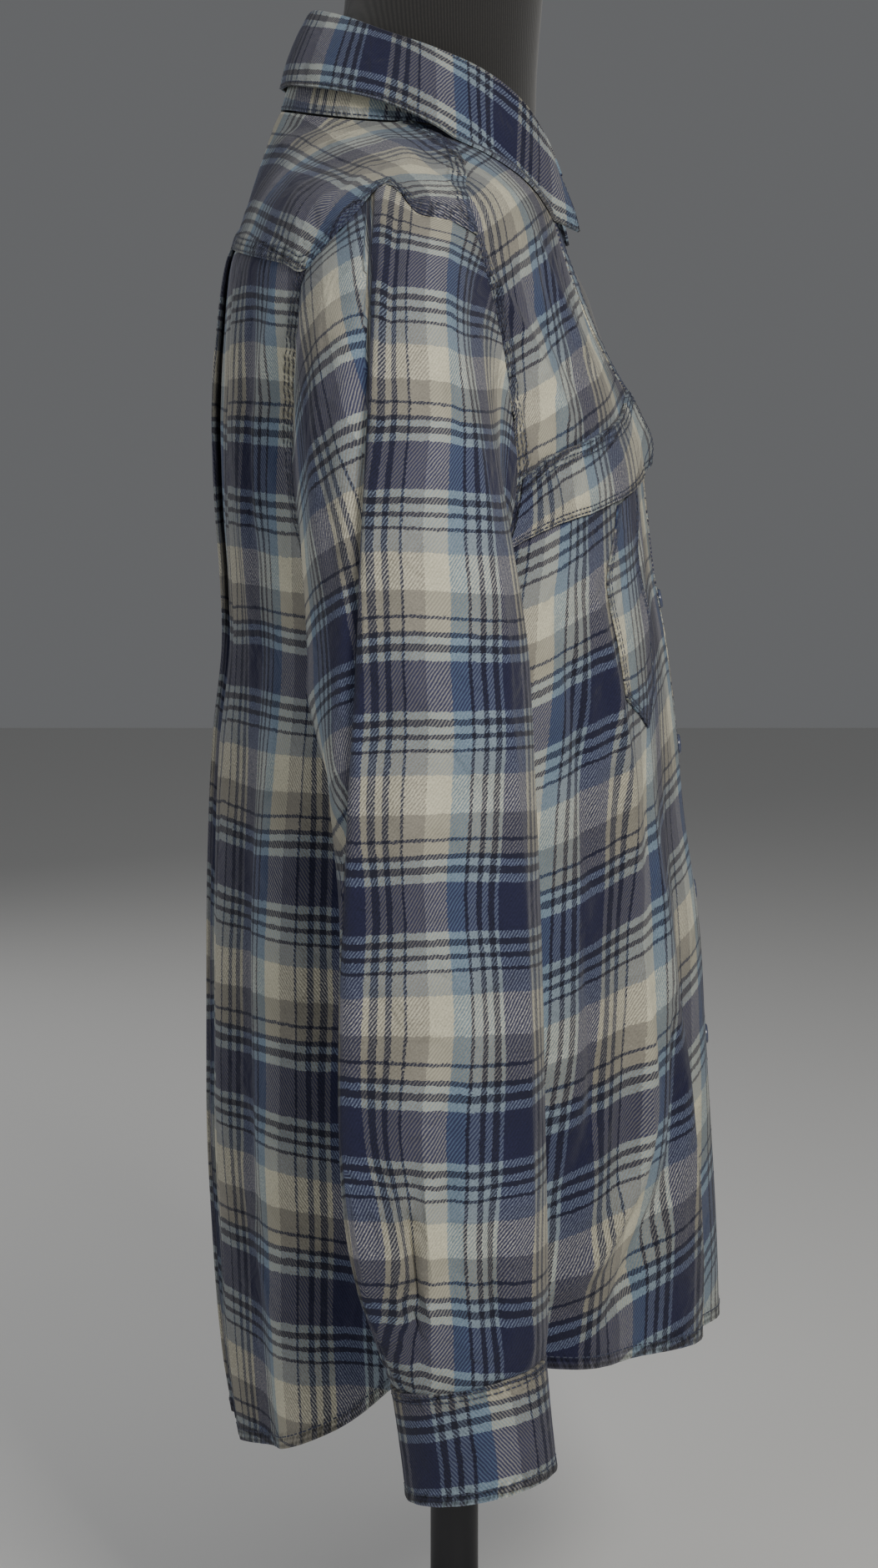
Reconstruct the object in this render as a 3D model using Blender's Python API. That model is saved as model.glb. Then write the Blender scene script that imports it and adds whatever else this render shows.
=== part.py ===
"""Long-sleeved flannel shirt hanging on a limbless dress form with a short stand.

Metres, +Z up. The wearer faces -Y and the wearer's right side is -X.
The origin is the centre of the underside of the stand's foot.
Tables are in millimetres; every cloth piece is a wall of even thickness worked out from
sections of the hanging shirt, and the pieces stop a seam gap short of each other.
"""
import math

import bpy
import numpy as np

MM = 0.001

# ---- driving sizes, millimetres
CLOTH = 1.2            # one layer of brushed flannel with its turned edges
DOUBLE = 1.8           # two layers with interlining: bands, collar, cuffs, flaps
SEAM_GAP = 0.3         # space left between sewn pieces
BAND_WIDTH = 30.0      # front band
CUFF_HEIGHT = 57.0
PLEAT_HALF = 18.0      # half width of the box pleat in the back
BUTTON_RADIUS = 5.7
BUTTON_THICKNESS = 2.4
FIRST_BUTTON = 708.0   # height of the first fastened front button
BUTTON_PITCH = 85.0
BASE_RADIUS = 138.0
BASE_HEIGHT = 6.0
POLE_RADIUS = 14.0

# ---- the hanging shirt, level by level
# height, half width, front y, back y, roundness
SHIRT = [
    (914.0, 64.0, -44.0, 97.5, 2.0),
    (908.0, 69.0, -45.0, 101.5, 2.0),
    (900.0, 75.0, -46.5, 105.5, 1.95),
    (895.5, 80.0, -47.5, 107.0, 1.9),
    (888.0, 101.0, -49.0, 109.5, 1.9),
    (879.0, 126.0, -51.0, 112.5, 1.9),
    (869.5, 151.0, -53.5, 115.5, 1.9),
    (861.0, 176.0, -56.0, 118.0, 1.92),
    (853.5, 195.0, -58.5, 120.0, 1.96),
    (846.0, 206.0, -61.0, 122.5, 2.0),
    (838.0, 210.5, -63.0, 124.5, 2.05),
    (825.0, 212.0, -66.5, 128.0, 2.1),
    (813.0, 212.0, -70.5, 130.5, 2.1),
    (800.0, 211.5, -75.0, 132.0, 2.1),
    (779.0, 210.5, -83.0, 133.5, 2.1),
    (755.0, 210.0, -94.0, 135.0, 2.1),
    (740.0, 209.5, -100.5, 135.5, 2.1),
    (730.0, 209.0, -103.0, 135.7, 2.15),
    (700.0, 208.0, -106.0, 135.0, 2.2),
    (671.0, 208.0, -109.0, 133.5, 2.25),
    (640.0, 208.5, -112.5, 131.0, 2.3),
    (603.0, 210.0, -119.0, 129.5, 2.3),
    (544.0, 212.0, -126.0, 135.0, 2.3),
    (505.0, 213.0, -129.0, 137.0, 2.3),
    (431.0, 215.0, -138.0, 138.5, 2.3),
    (340.0, 217.0, -144.0, 138.5, 2.3),
    (240.0, 219.0, -149.0, 134.0, 2.3),
    (190.0, 220.0, -150.0, 129.5, 2.3),
    (140.0, 220.0, -150.5, 121.0, 2.3),
]

# ---- the dress form under it, level by level
# height, half width, front y, back y, roundness, breast bone bulge
FORM = [
    (288.0, 150.0, -88.0, 104.0, 2.3, 0.0),
    (300.0, 158.0, -94.0, 110.0, 2.3, 0.0),
    (330.0, 163.0, -98.0, 115.0, 2.3, 0.0),
    (385.0, 163.0, -97.0, 116.0, 2.3, 0.0),
    (440.0, 156.0, -92.0, 112.0, 2.3, 0.0),
    (500.0, 150.0, -88.0, 109.0, 2.3, 0.0),
    (560.0, 152.0, -92.0, 114.0, 2.3, 0.0),
    (620.0, 162.0, -98.0, 122.0, 2.25, 0.0),
    (680.0, 174.0, -100.0, 128.5, 2.2, 0.0),
    (715.0, 180.0, -99.0, 131.5, 2.15, 0.5),
    (740.0, 184.0, -95.5, 132.0, 2.1, 3.5),
    (755.0, 186.0, -89.0, 131.5, 2.1, 6.3),
    (779.0, 188.0, -77.8, 130.0, 2.1, 7.4),
    (798.0, 189.0, -72.0, 128.5, 2.1, 7.0),
    (814.0, 189.5, -67.5, 126.5, 2.1, 4.0),
    (828.0, 188.5, -60.5, 123.8, 2.1, 1.0),
    (838.0, 186.0, -57.0, 121.0, 2.05, 0.0),
    (847.0, 180.0, -54.8, 118.6, 2.0, 0.0),
    (855.0, 170.0, -53.0, 116.0, 1.95, 0.0),
    (862.0, 160.5, -51.5, 114.0, 1.92, 0.0),
    (868.1, 150.0, -49.8, 112.0, 1.9, 0.0),
    (877.6, 124.5, -47.0, 109.0, 1.9, 0.0),
    (886.6, 99.0, -45.5, 105.5, 1.9, 0.0),
    (894.0, 77.0, -45.5, 102.5, 1.9, 0.0),
    (900.0, 70.5, -46.0, 99.5, 1.95, 0.0),
    (908.0, 66.5, -47.8, 93.5, 2.0, 0.0),
    (918.0, 62.5, -48.0, 84.5, 2.0, 0.0),
    (930.0, 60.0, -48.4, 76.5, 2.0, 0.0),
    (948.0, 58.0, -49.6, 69.0, 2.0, 0.0),
    (968.0, 57.0, -51.3, 64.8, 2.0, 0.0),
    (996.0, 56.5, -53.2, 62.5, 2.0, 0.0),
    (1003.0, 52.5, -49.5, 58.5, 2.0, 0.0),
]

# ---- armhole of the right side seen from the side: y, height
ARMHOLE_TOP = [(-10.0, 826.0), (5.0, 834.5), (21.0, 841.5), (36.0, 850.5),
               (51.0, 841.5), (65.0, 823.5), (79.0, 808.5)]
ARMHOLE_BACK = [(83.5, 782.0), (86.5, 755.0), (88.0, 728.0), (87.0, 702.0),
                (82.0, 677.0), (71.0, 652.0), (54.0, 630.0), (34.0, 614.0)]
ARMHOLE_FRONT = [(-14.0, 812.0), (-18.5, 796.0), (-22.5, 779.0), (-26.0, 760.0), (-29.0, 740.0),
                 (-31.0, 719.0), (-32.0, 695.0), (-24.0, 661.0), (1.0, 634.0), (34.0, 614.0)]
# height of the front band's seam on the rows that start at the armhole
SEAM_ROWS = [857.0, 838.0, 812.0, 780.0, 745.0, 718.0, 690.0, 658.0]

# ---- seam lines seen from above: sideways distance from the centre, y
NECK_FRONT = [(80.0, 22.0), (82.0, 4.0), (84.0, -15.0), (85.0, -34.0)]
NECK_END = (63.0, -47.5)
YOKE_FRONT = [(80.0, 22.0), (103.0, 6.5), (130.0, -3.5), (157.0, -5.5), (181.0, -5.0)]

# ---- front edge, from the open neck down to where the fronts button over each other
# height, free edge (distance from the centre on the wearer's own side), seam to the front
FRONT_EDGE = [
    (868.0, 63.0, 85.5),
    (838.0, 63.0, 86.5),
    (812.0, 61.0, 87.0),
    (790.0, 56.0, 84.0),
    (768.0, 46.0, 75.0),
    (754.0, 36.0, 65.0),
    (742.0, 22.0, 52.0),
    (730.0, 4.0, 38.0),
    (718.0, -10.0, 26.0),
    (700.0, -14.3, 16.5),
    (670.0, -14.5, 15.0),
    (100.0, -14.5, 15.0),
]
LAYER_STEP = 2.5       # the wearer's right band lies this far over the left one
LAYER_TOP = 758.0      # the right band begins to lift here
LAYER_FULL = 736.0

# ---- side seam: y, height
SIDE_SEAM = [(34.0, 614.0), (30.0, 600.0), (24.0, 500.0), (18.0, 400.0), (13.0, 300.0), (10.0, 240.0)]

# ---- hem: share of the way from the side seam to the centre, height
HEM_FRONT = [(0.0, 240.0), (0.12, 233.0), (0.3, 221.0), (0.5, 209.0), (0.7, 202.0),
             (0.88, 198.0), (1.0, 197.0)]
HEM_BACK = [(0.0, 240.0), (0.1, 222.0), (0.25, 197.0), (0.45, 176.0), (0.65, 163.0),
            (0.85, 155.0), (1.0, 152.0)]

# ---- folds of the body, as ridges (+) and troughs (-) that run down the cloth
# angle at the top end, top height, angle at the lower end, lower height, rise, half width
# angles are degrees round the body from the side (0) to the front (-90) or the back (90)
FOLDS_RIGHT = [
    (-50.0, 610.0, -50.0, 150.0, 7.5, 7.0),
    (-63.0, 640.0, -63.0, 150.0, -5.5, 8.0),
    (-77.0, 560.0, -76.0, 120.0, 3.0, 7.0),
    (-34.0, 560.0, -37.0, 120.0, -5.0, 8.0),
    (-20.0, 500.0, -22.0, 100.0, 3.5, 8.0),
    (71.0, 800.0, 70.0, 100.0, 3.0, 7.0),
    (57.0, 690.0, 55.0, 110.0, -5.0, 8.0),
    (41.0, 640.0, 40.0, 110.0, 5.5, 8.0),
    (24.0, 560.0, 24.0, 110.0, -3.5, 8.0),
]
FOLDS_LEFT = [
    (-44.0, 600.0, -46.0, 150.0, 6.5, 8.0),
    (-58.0, 640.0, -60.0, 150.0, -5.0, 8.0),
    (-74.0, 520.0, -73.0, 120.0, 3.5, 7.0),
    (-30.0, 540.0, -31.0, 120.0, -4.5, 8.0),
    (-16.0, 480.0, -18.0, 100.0, 3.0, 8.0),
    (69.0, 780.0, 68.0, 100.0, 3.5, 8.0),
    (54.0, 680.0, 52.0, 110.0, -5.0, 8.0),
    (38.0, 620.0, 37.0, 110.0, 5.0, 8.0),
    (22.0, 540.0, 22.0, 110.0, -3.0, 8.0),
]

# ---- sleeve of the right side in level rings; the eight stations go round from the front of
# the outer face over the back crease and the inner side: sideways distance, y at each station
# height, outer front, outer middle, crease, back, inner back, inner middle, inner front, front
SLEEVE_RINGS = [
    (582.0, (296.0, -24.0), (303.0, 14.0), (298.0, 50.0), (270.0, 67.0),
     (235.0, 76.0), (224.0, 32.0), (228.0, -15.0), (262.0, -38.0)),
    (536.0, (297.0, -28.0), (304.0, 12.0), (300.0, 53.0), (273.0, 64.0),
     (238.0, 64.0), (226.0, 26.0), (230.0, -20.0), (264.0, -40.0)),
    (488.0, (297.0, -31.0), (305.0, 11.0), (300.0, 55.0), (275.0, 60.0),
     (241.0, 55.0), (229.0, 18.0), (232.0, -24.0), (265.0, -42.0)),
    (435.0, (298.0, -33.0), (306.0, 11.0), (300.0, 56.0), (275.0, 58.0),
     (242.0, 51.0), (231.0, 14.0), (233.0, -26.0), (266.0, -43.5)),
    (380.0, (299.0, -34.0), (307.0, 11.0), (301.0, 56.5), (276.0, 57.5),
     (243.0, 49.0), (232.0, 12.0), (234.0, -28.0), (267.0, -44.5)),
    (330.0, (299.0, -35.0), (308.0, 9.0), (302.0, 53.5), (277.0, 55.0),
     (244.0, 46.0), (233.0, 10.0), (235.0, -29.0), (267.0, -45.5)),
    (292.0, (299.0, -35.5), (308.5, 6.0), (300.0, 46.0), (276.0, 49.5),
     (244.0, 41.0), (234.0, 6.0), (236.0, -30.0), (268.0, -46.0)),
    (268.0, (298.0, -35.5), (308.0, 2.0), (296.0, 36.0), (271.0, 42.0),
     (243.0, 31.0), (233.0, 0.0), (238.0, -31.0), (269.0, -46.0)),
]
# share of the way round a ring at each station, and at each of the sleeve's columns:
# 7 columns over the shoulder, 8 down the back of the armhole, 9 up its front
STATION_SHARE = (0.0, 0.15, 0.31, 0.42, 0.53, 0.68, 0.83, 0.92)
COLUMN_SHARE = (0.0, 0.10, 0.20, 0.31, 0.36, 0.405, 0.445, 0.475, 0.505, 0.535, 0.57, 0.605, 0.64,
                0.672, 0.705, 0.745, 0.782, 0.815, 0.845, 0.873, 0.9, 0.925, 0.95, 0.975)
CUFF_CENTRE = (269.5, -6.0, 246.0)   # sideways distance, y and height of the middle of its top
CUFF_RADII = (37.0, 39.5)            # sideways, front to back
CUFF_TILT = 11.0                     # degrees, the front edge higher
CUFF_TAPER = 0.97
CUFF_OPENING = 125.0                 # degrees round from the outer side to the opening

# ---- collar of the right half: share from the centre back, sideways distance, y, height
COLLAR_FOLD = [(0.0, 0.0, 84.0, 966.0), (0.12, 27.0, 80.0, 965.0), (0.25, 50.0, 63.0, 959.0),
               (0.38, 67.0, 40.0, 949.0), (0.5, 76.0, 12.0, 938.5), (0.63, 79.5, -15.0, 926.0),
               (0.76, 78.0, -37.0, 909.0), (0.88, 73.0, -51.0, 888.0), (1.0, 66.0, -60.0, 868.0)]
COLLAR_EDGE = [(0.0, 0.0, 102.0, 922.5), (0.12, 37.0, 96.0, 921.0), (0.25, 70.0, 75.0, 916.5),
               (0.38, 93.0, 44.0, 908.0), (0.5, 105.0, 12.0, 893.0), (0.63, 107.0, -13.0, 875.0),
               (0.76, 102.0, -33.0, 857.5), (0.88, 92.0, -53.0, 842.0), (1.0, 79.0, -70.0, 834.5)]


def smooth_columns(table, where):
    """Monotone cubic interpolation of a table's columns by its first column."""
    rows = np.array(sorted(table), dtype=float)
    x = rows[:, 0]
    out = []
    where = np.clip(np.asarray(where, dtype=float), x[0], x[-1])
    h = np.diff(x)
    i = np.clip(np.searchsorted(x, where, side="right") - 1, 0, len(x) - 2)
    t = (where - x[i]) / h[i]
    for k in range(1, rows.shape[1]):
        y = rows[:, k]
        slope = np.diff(y) / h
        m = np.zeros(len(x))
        m[0] = slope[0]
        m[-1] = slope[-1]
        for j in range(1, len(x) - 1):
            if slope[j - 1] * slope[j] > 0:
                w1 = 2 * h[j] + h[j - 1]
                w2 = h[j] + 2 * h[j - 1]
                m[j] = (w1 + w2) / (w1 / slope[j - 1] + w2 / slope[j])
        a = (1 + 2 * t) * (1 - t) ** 2 * y[i] + t * (1 - t) ** 2 * h[i] * m[i]
        b = t * t * (3 - 2 * t) * y[i + 1] + t * t * (t - 1) * h[i] * m[i + 1]
        out.append(a + b)
    return out


def ease(value):
    """Smooth step from 0 to 1."""
    value = np.clip(value, 0.0, 1.0)
    return value * value * (3 - 2 * value)


# ---------------------------------------------------------------- the shirt's body surface
def on_body(angle, z):
    """Point of the right half of the body: sideways distance, y and height."""
    a, front, back, n = smooth_columns(SHIRT, z)
    c = (front + back) / 2
    b = (back - front) / 2
    co = np.cos(angle)
    si = np.sin(angle)
    o = a * np.sign(co) * np.abs(co) ** (2 / n)
    y = c + b * np.sign(si) * np.abs(si) ** (2 / n)
    return o, y, np.asarray(z, dtype=float) + 0 * o


def angle_from_y(y, z):
    a, front, back, n = smooth_columns(SHIRT, z)
    s = np.clip((np.asarray(y) - (front + back) / 2) / ((back - front) / 2), -1, 1)
    return np.arcsin(np.sign(s) * np.abs(s) ** (n / 2))


def angle_from_side(o, z, sign):
    """Angle of a point at sideways distance o on the front (-1) or the back (+1)."""
    a, front, back, n = smooth_columns(SHIRT, z)
    s = np.clip(np.asarray(o) / a, -1, 1)
    return sign * np.arccos(np.sign(s) * np.abs(s) ** (n / 2))


def height_over(o, y):
    """Height of the shoulder surface over a point seen from above."""
    low = 700.0
    high = 913.0
    for _ in range(40):
        mid = (low + high) / 2
        a, front, back, n = smooth_columns(SHIRT, mid)
        f = (abs(o) / a) ** n + abs((y - (front + back) / 2) / ((back - front) / 2)) ** n - 1
        if f < 0:
            low = mid
        else:
            high = mid
    return mid


def plan_curve(points):
    """Angles and heights of seam points given as seen from above."""
    out = []
    for o, y in points:
        z = height_over(o, y)
        out.append((float(angle_from_y(y, z)), z))
    return np.array(out)


def side_curve(points):
    """Angles and heights of seam points given as seen from the side."""
    return np.array([(float(angle_from_y(y, z)), z) for y, z in points])


def resample(points, count):
    """Evenly spaced points along a smooth curve through the given ones."""
    points = np.asarray(points, dtype=float)
    on = np.array(on_body(points[:, 0], points[:, 1])).T
    run = np.concatenate([[0], np.cumsum(np.linalg.norm(np.diff(on, axis=0), axis=1))])
    table = [(r, p[0], p[1]) for r, p in zip(run, points)]
    return np.array(smooth_columns(table, np.linspace(0, run[-1], count))).T


def fill_patch(top, bottom, left, right):
    """Angles and heights inside four joined edges; rows run from top to bottom."""
    rows = len(left)
    cols = len(top)
    grid = np.zeros((rows, cols, 2))
    for i in range(rows):
        v = i / (rows - 1)
        for j in range(cols):
            u = j / (cols - 1)
            grid[i, j] = ((1 - v) * top[j] + v * bottom[j] + (1 - u) * left[i] + u * right[i]
                          - (1 - u) * (1 - v) * top[0] - u * (1 - v) * top[-1]
                          - (1 - u) * v * bottom[0] - u * v * bottom[-1])
    return grid


def fold_rise(angle, z, folds):
    """Sum of the folds' rises at points of the body."""
    total = np.zeros(np.broadcast(angle, z).shape)
    degrees = np.degrees(angle)
    for top_angle, top_z, low_angle, low_z, rise, width in folds:
        along = np.clip((top_z - z) / (top_z - low_z), 0, 1)
        middle = top_angle + (low_angle - top_angle) * along
        fade = ease(along / 0.35)
        total += rise * fade * np.exp(-((degrees - middle) / width) ** 2)
    return total


def grid_normals(points, closed=False):
    """Outward vertex normals of a grid of points."""
    along = np.zeros_like(points)
    along[1:-1] = points[2:] - points[:-2]
    along[0] = points[1] - points[0]
    along[-1] = points[-1] - points[-2]
    across = np.zeros_like(points)
    if closed:
        across = np.roll(points, -1, axis=1) - np.roll(points, 1, axis=1)
    else:
        across[:, 1:-1] = points[:, 2:] - points[:, :-2]
        across[:, 0] = points[:, 1] - points[:, 0]
        across[:, -1] = points[:, -1] - points[:, -2]
    normal = np.cross(along, across)
    return normal / np.maximum(np.linalg.norm(normal, axis=2, keepdims=True), 1e-9)


def outward_normals(points):
    """Vertex normals of a grid on the body, turned away from the body's middle."""
    normal = grid_normals(points)
    from_middle = points[..., :2] - np.array([0.0, 20.0])
    return normal if np.sum(normal[..., :2] * from_middle) > 0 else -normal


def body_points(grid, folds, extra=None, gap=2.2):
    """Right-half points of a patch of the body with its folds, wearer's right at -x."""
    o, y, z = on_body(grid[..., 0], grid[..., 1])
    points = np.stack([-o, y, z], axis=-1)
    normal = outward_normals(points)
    rise = fold_rise(grid[..., 0], grid[..., 1], folds)
    if extra is not None:
        rise = rise + extra
    return push_clear(points + normal * rise[..., None], FORM, gap)


def hull_depth(points, table):
    """How far points lie outside the hull of a table of levels, and the way out of it."""
    def level(p):
        columns = smooth_columns(table, p[..., 2])
        a, front, back, n = columns[:4]
        c = (front + back) / 2
        b = (back - front) / 2
        if len(columns) > 4:
            b = b + np.where(p[..., 1] < c, columns[4] * np.exp(-((p[..., 0] / 40.0) ** 2)), 0.0)
        return (np.abs(p[..., 0] / a) ** n + np.abs((p[..., 1] - c) / b) ** n) ** (1 / n) - 1
    here = level(points)
    slope = np.zeros_like(points)
    for k in range(3):
        step = np.zeros(3)
        step[k] = 0.5
        slope[..., k] = (level(points + step) - level(points - step)) / 1.0
    size = np.maximum(np.linalg.norm(slope, axis=-1, keepdims=True), 1e-9)
    return here / size[..., 0], slope / size


def push_clear(points, table, gap):
    """Cloth points moved out until they clear a hull by the gap."""
    points = points.copy()
    for _ in range(4):
        depth, way = hull_depth(points, table)
        short = np.clip(gap - depth, 0.0, 20.0)
        points += way * short[..., None]
    return points


def leave_edge(rim, toward_hole, leave, half, closed=False):
    """Where a wall starts that is sewn along the rim of a hole in the body.

    The wall sets off in the direction given for each point and keeps the seam gap.
    """
    if closed:
        way = np.roll(rim, -1, axis=0) - np.roll(rim, 1, axis=0)
    else:
        way = np.gradient(rim, axis=0)
    way = way / np.linalg.norm(way, axis=1, keepdims=True)
    normal = hull_depth(rim, SHIRT)[1]
    normal = normal - way * np.sum(normal * way, axis=1, keepdims=True)
    normal = normal / np.linalg.norm(normal, axis=1, keepdims=True)
    away = toward_hole - way * np.sum(toward_hole * way, axis=1, keepdims=True)
    away = away - normal * np.sum(away * normal, axis=1, keepdims=True)
    away = away / np.linalg.norm(away, axis=1, keepdims=True)
    along = np.sum(leave * away, axis=1)
    out = np.maximum(np.sum(leave * normal, axis=1), 0.0)
    size = np.hypot(along, out)
    along = along / size
    out = out / size
    reach = SEAM_GAP + 0.05 + CLOTH / 2 * out
    over = CLOTH / 2 + SEAM_GAP + 0.05 + half * np.maximum(-along, 0.0) - reach * out
    over = np.where(along < 0, np.maximum(over, 0.0), 0.0)
    flat = away * along[:, None] + normal * out[:, None]
    return rim + flat * reach[:, None] + normal * over[:, None]


def trim(points, sides, amount=0.8):
    """Draw the named edges of a grid back, square to each edge, by a share of the seam gap."""
    out = points.copy()
    views = {"top": lambda g: g, "bottom": lambda g: g[::-1],
             "left": lambda g: g.transpose(1, 0, 2), "right": lambda g: g.transpose(1, 0, 2)[::-1]}
    for side in sides:
        old = views[side](points)
        new = views[side](out)
        along = np.zeros_like(old[0])
        along[1:-1] = old[0][2:] - old[0][:-2]
        along[0] = old[0][1] - old[0][0]
        along[-1] = old[0][-1] - old[0][-2]
        along /= np.linalg.norm(along, axis=1, keepdims=True)
        inward = old[1] - old[0]
        inward -= along * np.sum(inward * along, axis=1, keepdims=True)
        inward /= np.maximum(np.linalg.norm(inward, axis=1, keepdims=True), 1e-9)
        new[0] += inward * SEAM_GAP * amount
    return out


def mirror(points):
    """The wearer's left copy of a right-hand grid, with its columns turned round."""
    return points[:, ::-1] * np.array([-1.0, 1.0, 1.0])


# ---------------------------------------------------------------- making the objects
def clear_scene():
    for item in list(bpy.data.objects):
        bpy.data.objects.remove(item, do_unlink=True)


# finish, colour, roughness, metallic
FLANNEL = ("brushed plaid flannel", "6f7586", 0.92, 0.0)
FLANNEL_DOUBLE = ("plaid flannel with interlining", "6b7183", 0.9, 0.0)
JERSEY = ("charcoal jersey over foam", "2b2b2e", 0.95, 0.0)
STEEL = ("powder coated steel", "1d1d1f", 0.45, 0.6)
BUTTON = ("moulded plastic", "39405a", 0.35, 0.0)


def make_material(name, look):
    """The piece's own material, named for its finish."""
    finish, colour, roughness, metallic = look
    material = bpy.data.materials.new(name + " " + finish)
    material.use_nodes = True
    shader = material.node_tree.nodes["Principled BSDF"]
    linear = []
    for part in (colour[0:2], colour[2:4], colour[4:6]):
        c = int(part, 16) / 255
        linear.append(c / 12.92 if c <= 0.04045 else ((c + 0.055) / 1.055) ** 2.4)
    shader.inputs["Base Color"].default_value = (*linear, 1.0)
    shader.inputs["Roughness"].default_value = roughness
    shader.inputs["Metallic"].default_value = metallic
    material.diffuse_color = (*linear, 1.0)
    return material


def make_object(name, vertices, faces, look):
    mesh = bpy.data.meshes.new(name)
    mesh.from_pydata([tuple(v * MM) for v in np.asarray(vertices)], [], faces)
    mesh.materials.append(make_material(name, look))
    mesh.validate()
    mesh.shade_smooth()
    mesh.set_sharp_from_angle(angle=math.radians(50))
    item = bpy.data.objects.new(name, mesh)
    bpy.context.scene.collection.objects.link(item)
    return item


def add_wall(name, points, thickness, look, closed=False):
    """A grid of points as a closed wall of cloth, half its thickness to either side."""
    normal = grid_normals(points, closed)
    rows, cols = points.shape[:2]
    outer = (points + normal * thickness / 2).reshape(-1, 3)
    inner = (points - normal * thickness / 2).reshape(-1, 3)
    shift = rows * cols
    faces = []
    spans = cols if closed else cols - 1
    for i in range(rows - 1):
        for j in range(spans):
            a = i * cols + j
            b = i * cols + (j + 1) % cols
            c = a + cols
            d = b + cols
            faces.append((a, c, d, b))
            faces.append((a + shift, b + shift, d + shift, c + shift))
    for j in range(spans):
        a = j
        b = (j + 1) % cols
        faces.append((a, b, b + shift, a + shift))
        a += (rows - 1) * cols
        b += (rows - 1) * cols
        faces.append((b, a, a + shift, b + shift))
    if not closed:
        for i in range(rows - 1):
            a = i * cols
            c = a + cols
            faces.append((c, a, a + shift, c + shift))
            b = a + cols - 1
            d = b + cols
            faces.append((b, d, d + shift, b + shift))
    return make_object(name, np.concatenate([outer, inner]), faces, look)


def add_stack(name, rings, look):
    """A closed solid through level rings listed from the bottom up."""
    count = len(rings[0])
    vertices = [point for ring in rings for point in ring]
    faces = []
    for i in range(len(rings) - 1):
        for j in range(count):
            a = i * count + j
            b = i * count + (j + 1) % count
            faces.append((a, b, b + count, a + count))
    for ring, order in ((0, -1), (len(rings) - 1, 1)):
        centre = len(vertices)
        vertices.append(np.mean(rings[ring], axis=0))
        for j in range(count):
            a = ring * count + j
            b = ring * count + (j + 1) % count
            faces.append((a, b, centre) if order > 0 else (b, a, centre))
    return make_object(name, vertices, faces, look)


clear_scene()

# ---------------------------------------------------------------- dress form and stand
FORM_SIDES = 28


def form_ring(z, inset=0.0):
    a, front, back, n, bulge = smooth_columns(FORM, z)
    c = (front + back) / 2
    b = (back - front) / 2
    ring = []
    for k in range(FORM_SIDES):
        turn = 2 * math.pi * k / FORM_SIDES - math.pi / 2
        co = math.cos(turn)
        si = math.sin(turn)
        x = (a - inset) * math.copysign(abs(co) ** (2 / n), co)
        y = c + (b - inset) * math.copysign(abs(si) ** (2 / n), si)
        if si < 0:
            y -= bulge * math.exp(-((x / 40.0) ** 2))
        ring.append(np.array([x, y, z]))
    return ring


form_levels = [288.0, 300.0, 335.0, 385.0, 440.0, 500.0, 560.0, 620.0, 670.0, 710.0, 740.0, 760.0,
               779.0, 798.0, 814.0, 828.0, 838.0, 847.0, 855.0, 862.0, 868.1, 877.6, 886.6, 894.0,
               900.0, 908.0, 920.0, 935.0, 955.0, 978.0, 996.0, 1003.0]
add_stack("dress_form", [form_ring(z) for z in form_levels], JERSEY)


def round_ring(radius, z, count, centre_y=0.0):
    return [np.array([radius * math.cos(2 * math.pi * k / count),
                      centre_y + radius * math.sin(2 * math.pi * k / count), z]) for k in range(count)]


base_profile = [(BASE_RADIUS - 1, 0.0), (BASE_RADIUS, 1.0), (BASE_RADIUS, 4.5),
                (BASE_RADIUS - 1.5, BASE_HEIGHT)]
add_stack("stand_base", [round_ring(r, z, 48) for r, z in base_profile], STEEL)
pole_profile = [(26.0, BASE_HEIGHT), (26.0, 10.0), (POLE_RADIUS, 20.0), (POLE_RADIUS, 270.0),
                (32.0, 280.0), (32.0, 288.0)]
add_stack("stand_pole", [round_ring(r, z, 20) for r, z in pole_profile], STEEL)

# ---------------------------------------------------------------- seam lines of the body
armhole_top = resample(side_curve(ARMHOLE_TOP), 7)
armhole_back = side_curve([ARMHOLE_TOP[-1]] + ARMHOLE_BACK)
armhole_front = side_curve([ARMHOLE_TOP[0]] + ARMHOLE_FRONT)
armhole_back[0] = armhole_top[-1]
armhole_front[0] = armhole_top[0]
side_seam = resample(side_curve(SIDE_SEAM), 12)
back_edge_rows = np.concatenate([armhole_back, side_seam[1:]])
front_edge_rows = np.concatenate([armhole_front, side_seam[1:]])
BACK_ROWS = len(back_edge_rows)
ROWS = len(front_edge_rows)
ARM_ROWS = len(armhole_front)

neck_front = plan_curve(NECK_FRONT)
neck_point = neck_front[0]
YOKE_ROWS = 10
FRONT_COLUMNS = 2 * YOKE_ROWS - 1
BACK_COLUMNS = 17
CENTRE_SEAM = 829.5
yoke_front = resample(np.concatenate([plan_curve(YOKE_FRONT), armhole_top[:1]]), YOKE_ROWS)

# ---- yoke: the right half runs from the front yoke seam to the centre back
half_turn = math.pi / 2
yoke_back = np.array([(armhole_top[-1][0] + (half_turn - armhole_top[-1][0]) * t,
                       armhole_top[-1][1] + (CENTRE_SEAM - armhole_top[-1][1]) * t ** 0.85)
                      for t in np.linspace(0, 1, BACK_COLUMNS // 2 + 1)])
outer_edge = np.concatenate([armhole_top, yoke_back[1:]])
neck_back = resample(np.array([(neck_point[0] + (half_turn - neck_point[0]) * t,
                                neck_point[1] + (908.0 - neck_point[1]) * ease(t))
                               for t in np.linspace(0, 1, 9)]), len(outer_edge))
centre_edge = np.array([(half_turn, 908.0 + (CENTRE_SEAM - 908.0) * t) for t in np.linspace(0, 1, YOKE_ROWS)])
yoke_grid = fill_patch(neck_back, outer_edge, yoke_front, centre_edge)
yoke_mid = body_points(yoke_grid, [], gap=1.5)
yoke_right = trim(trim(yoke_mid, ["bottom"]), ["left"], 1.2)
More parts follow.
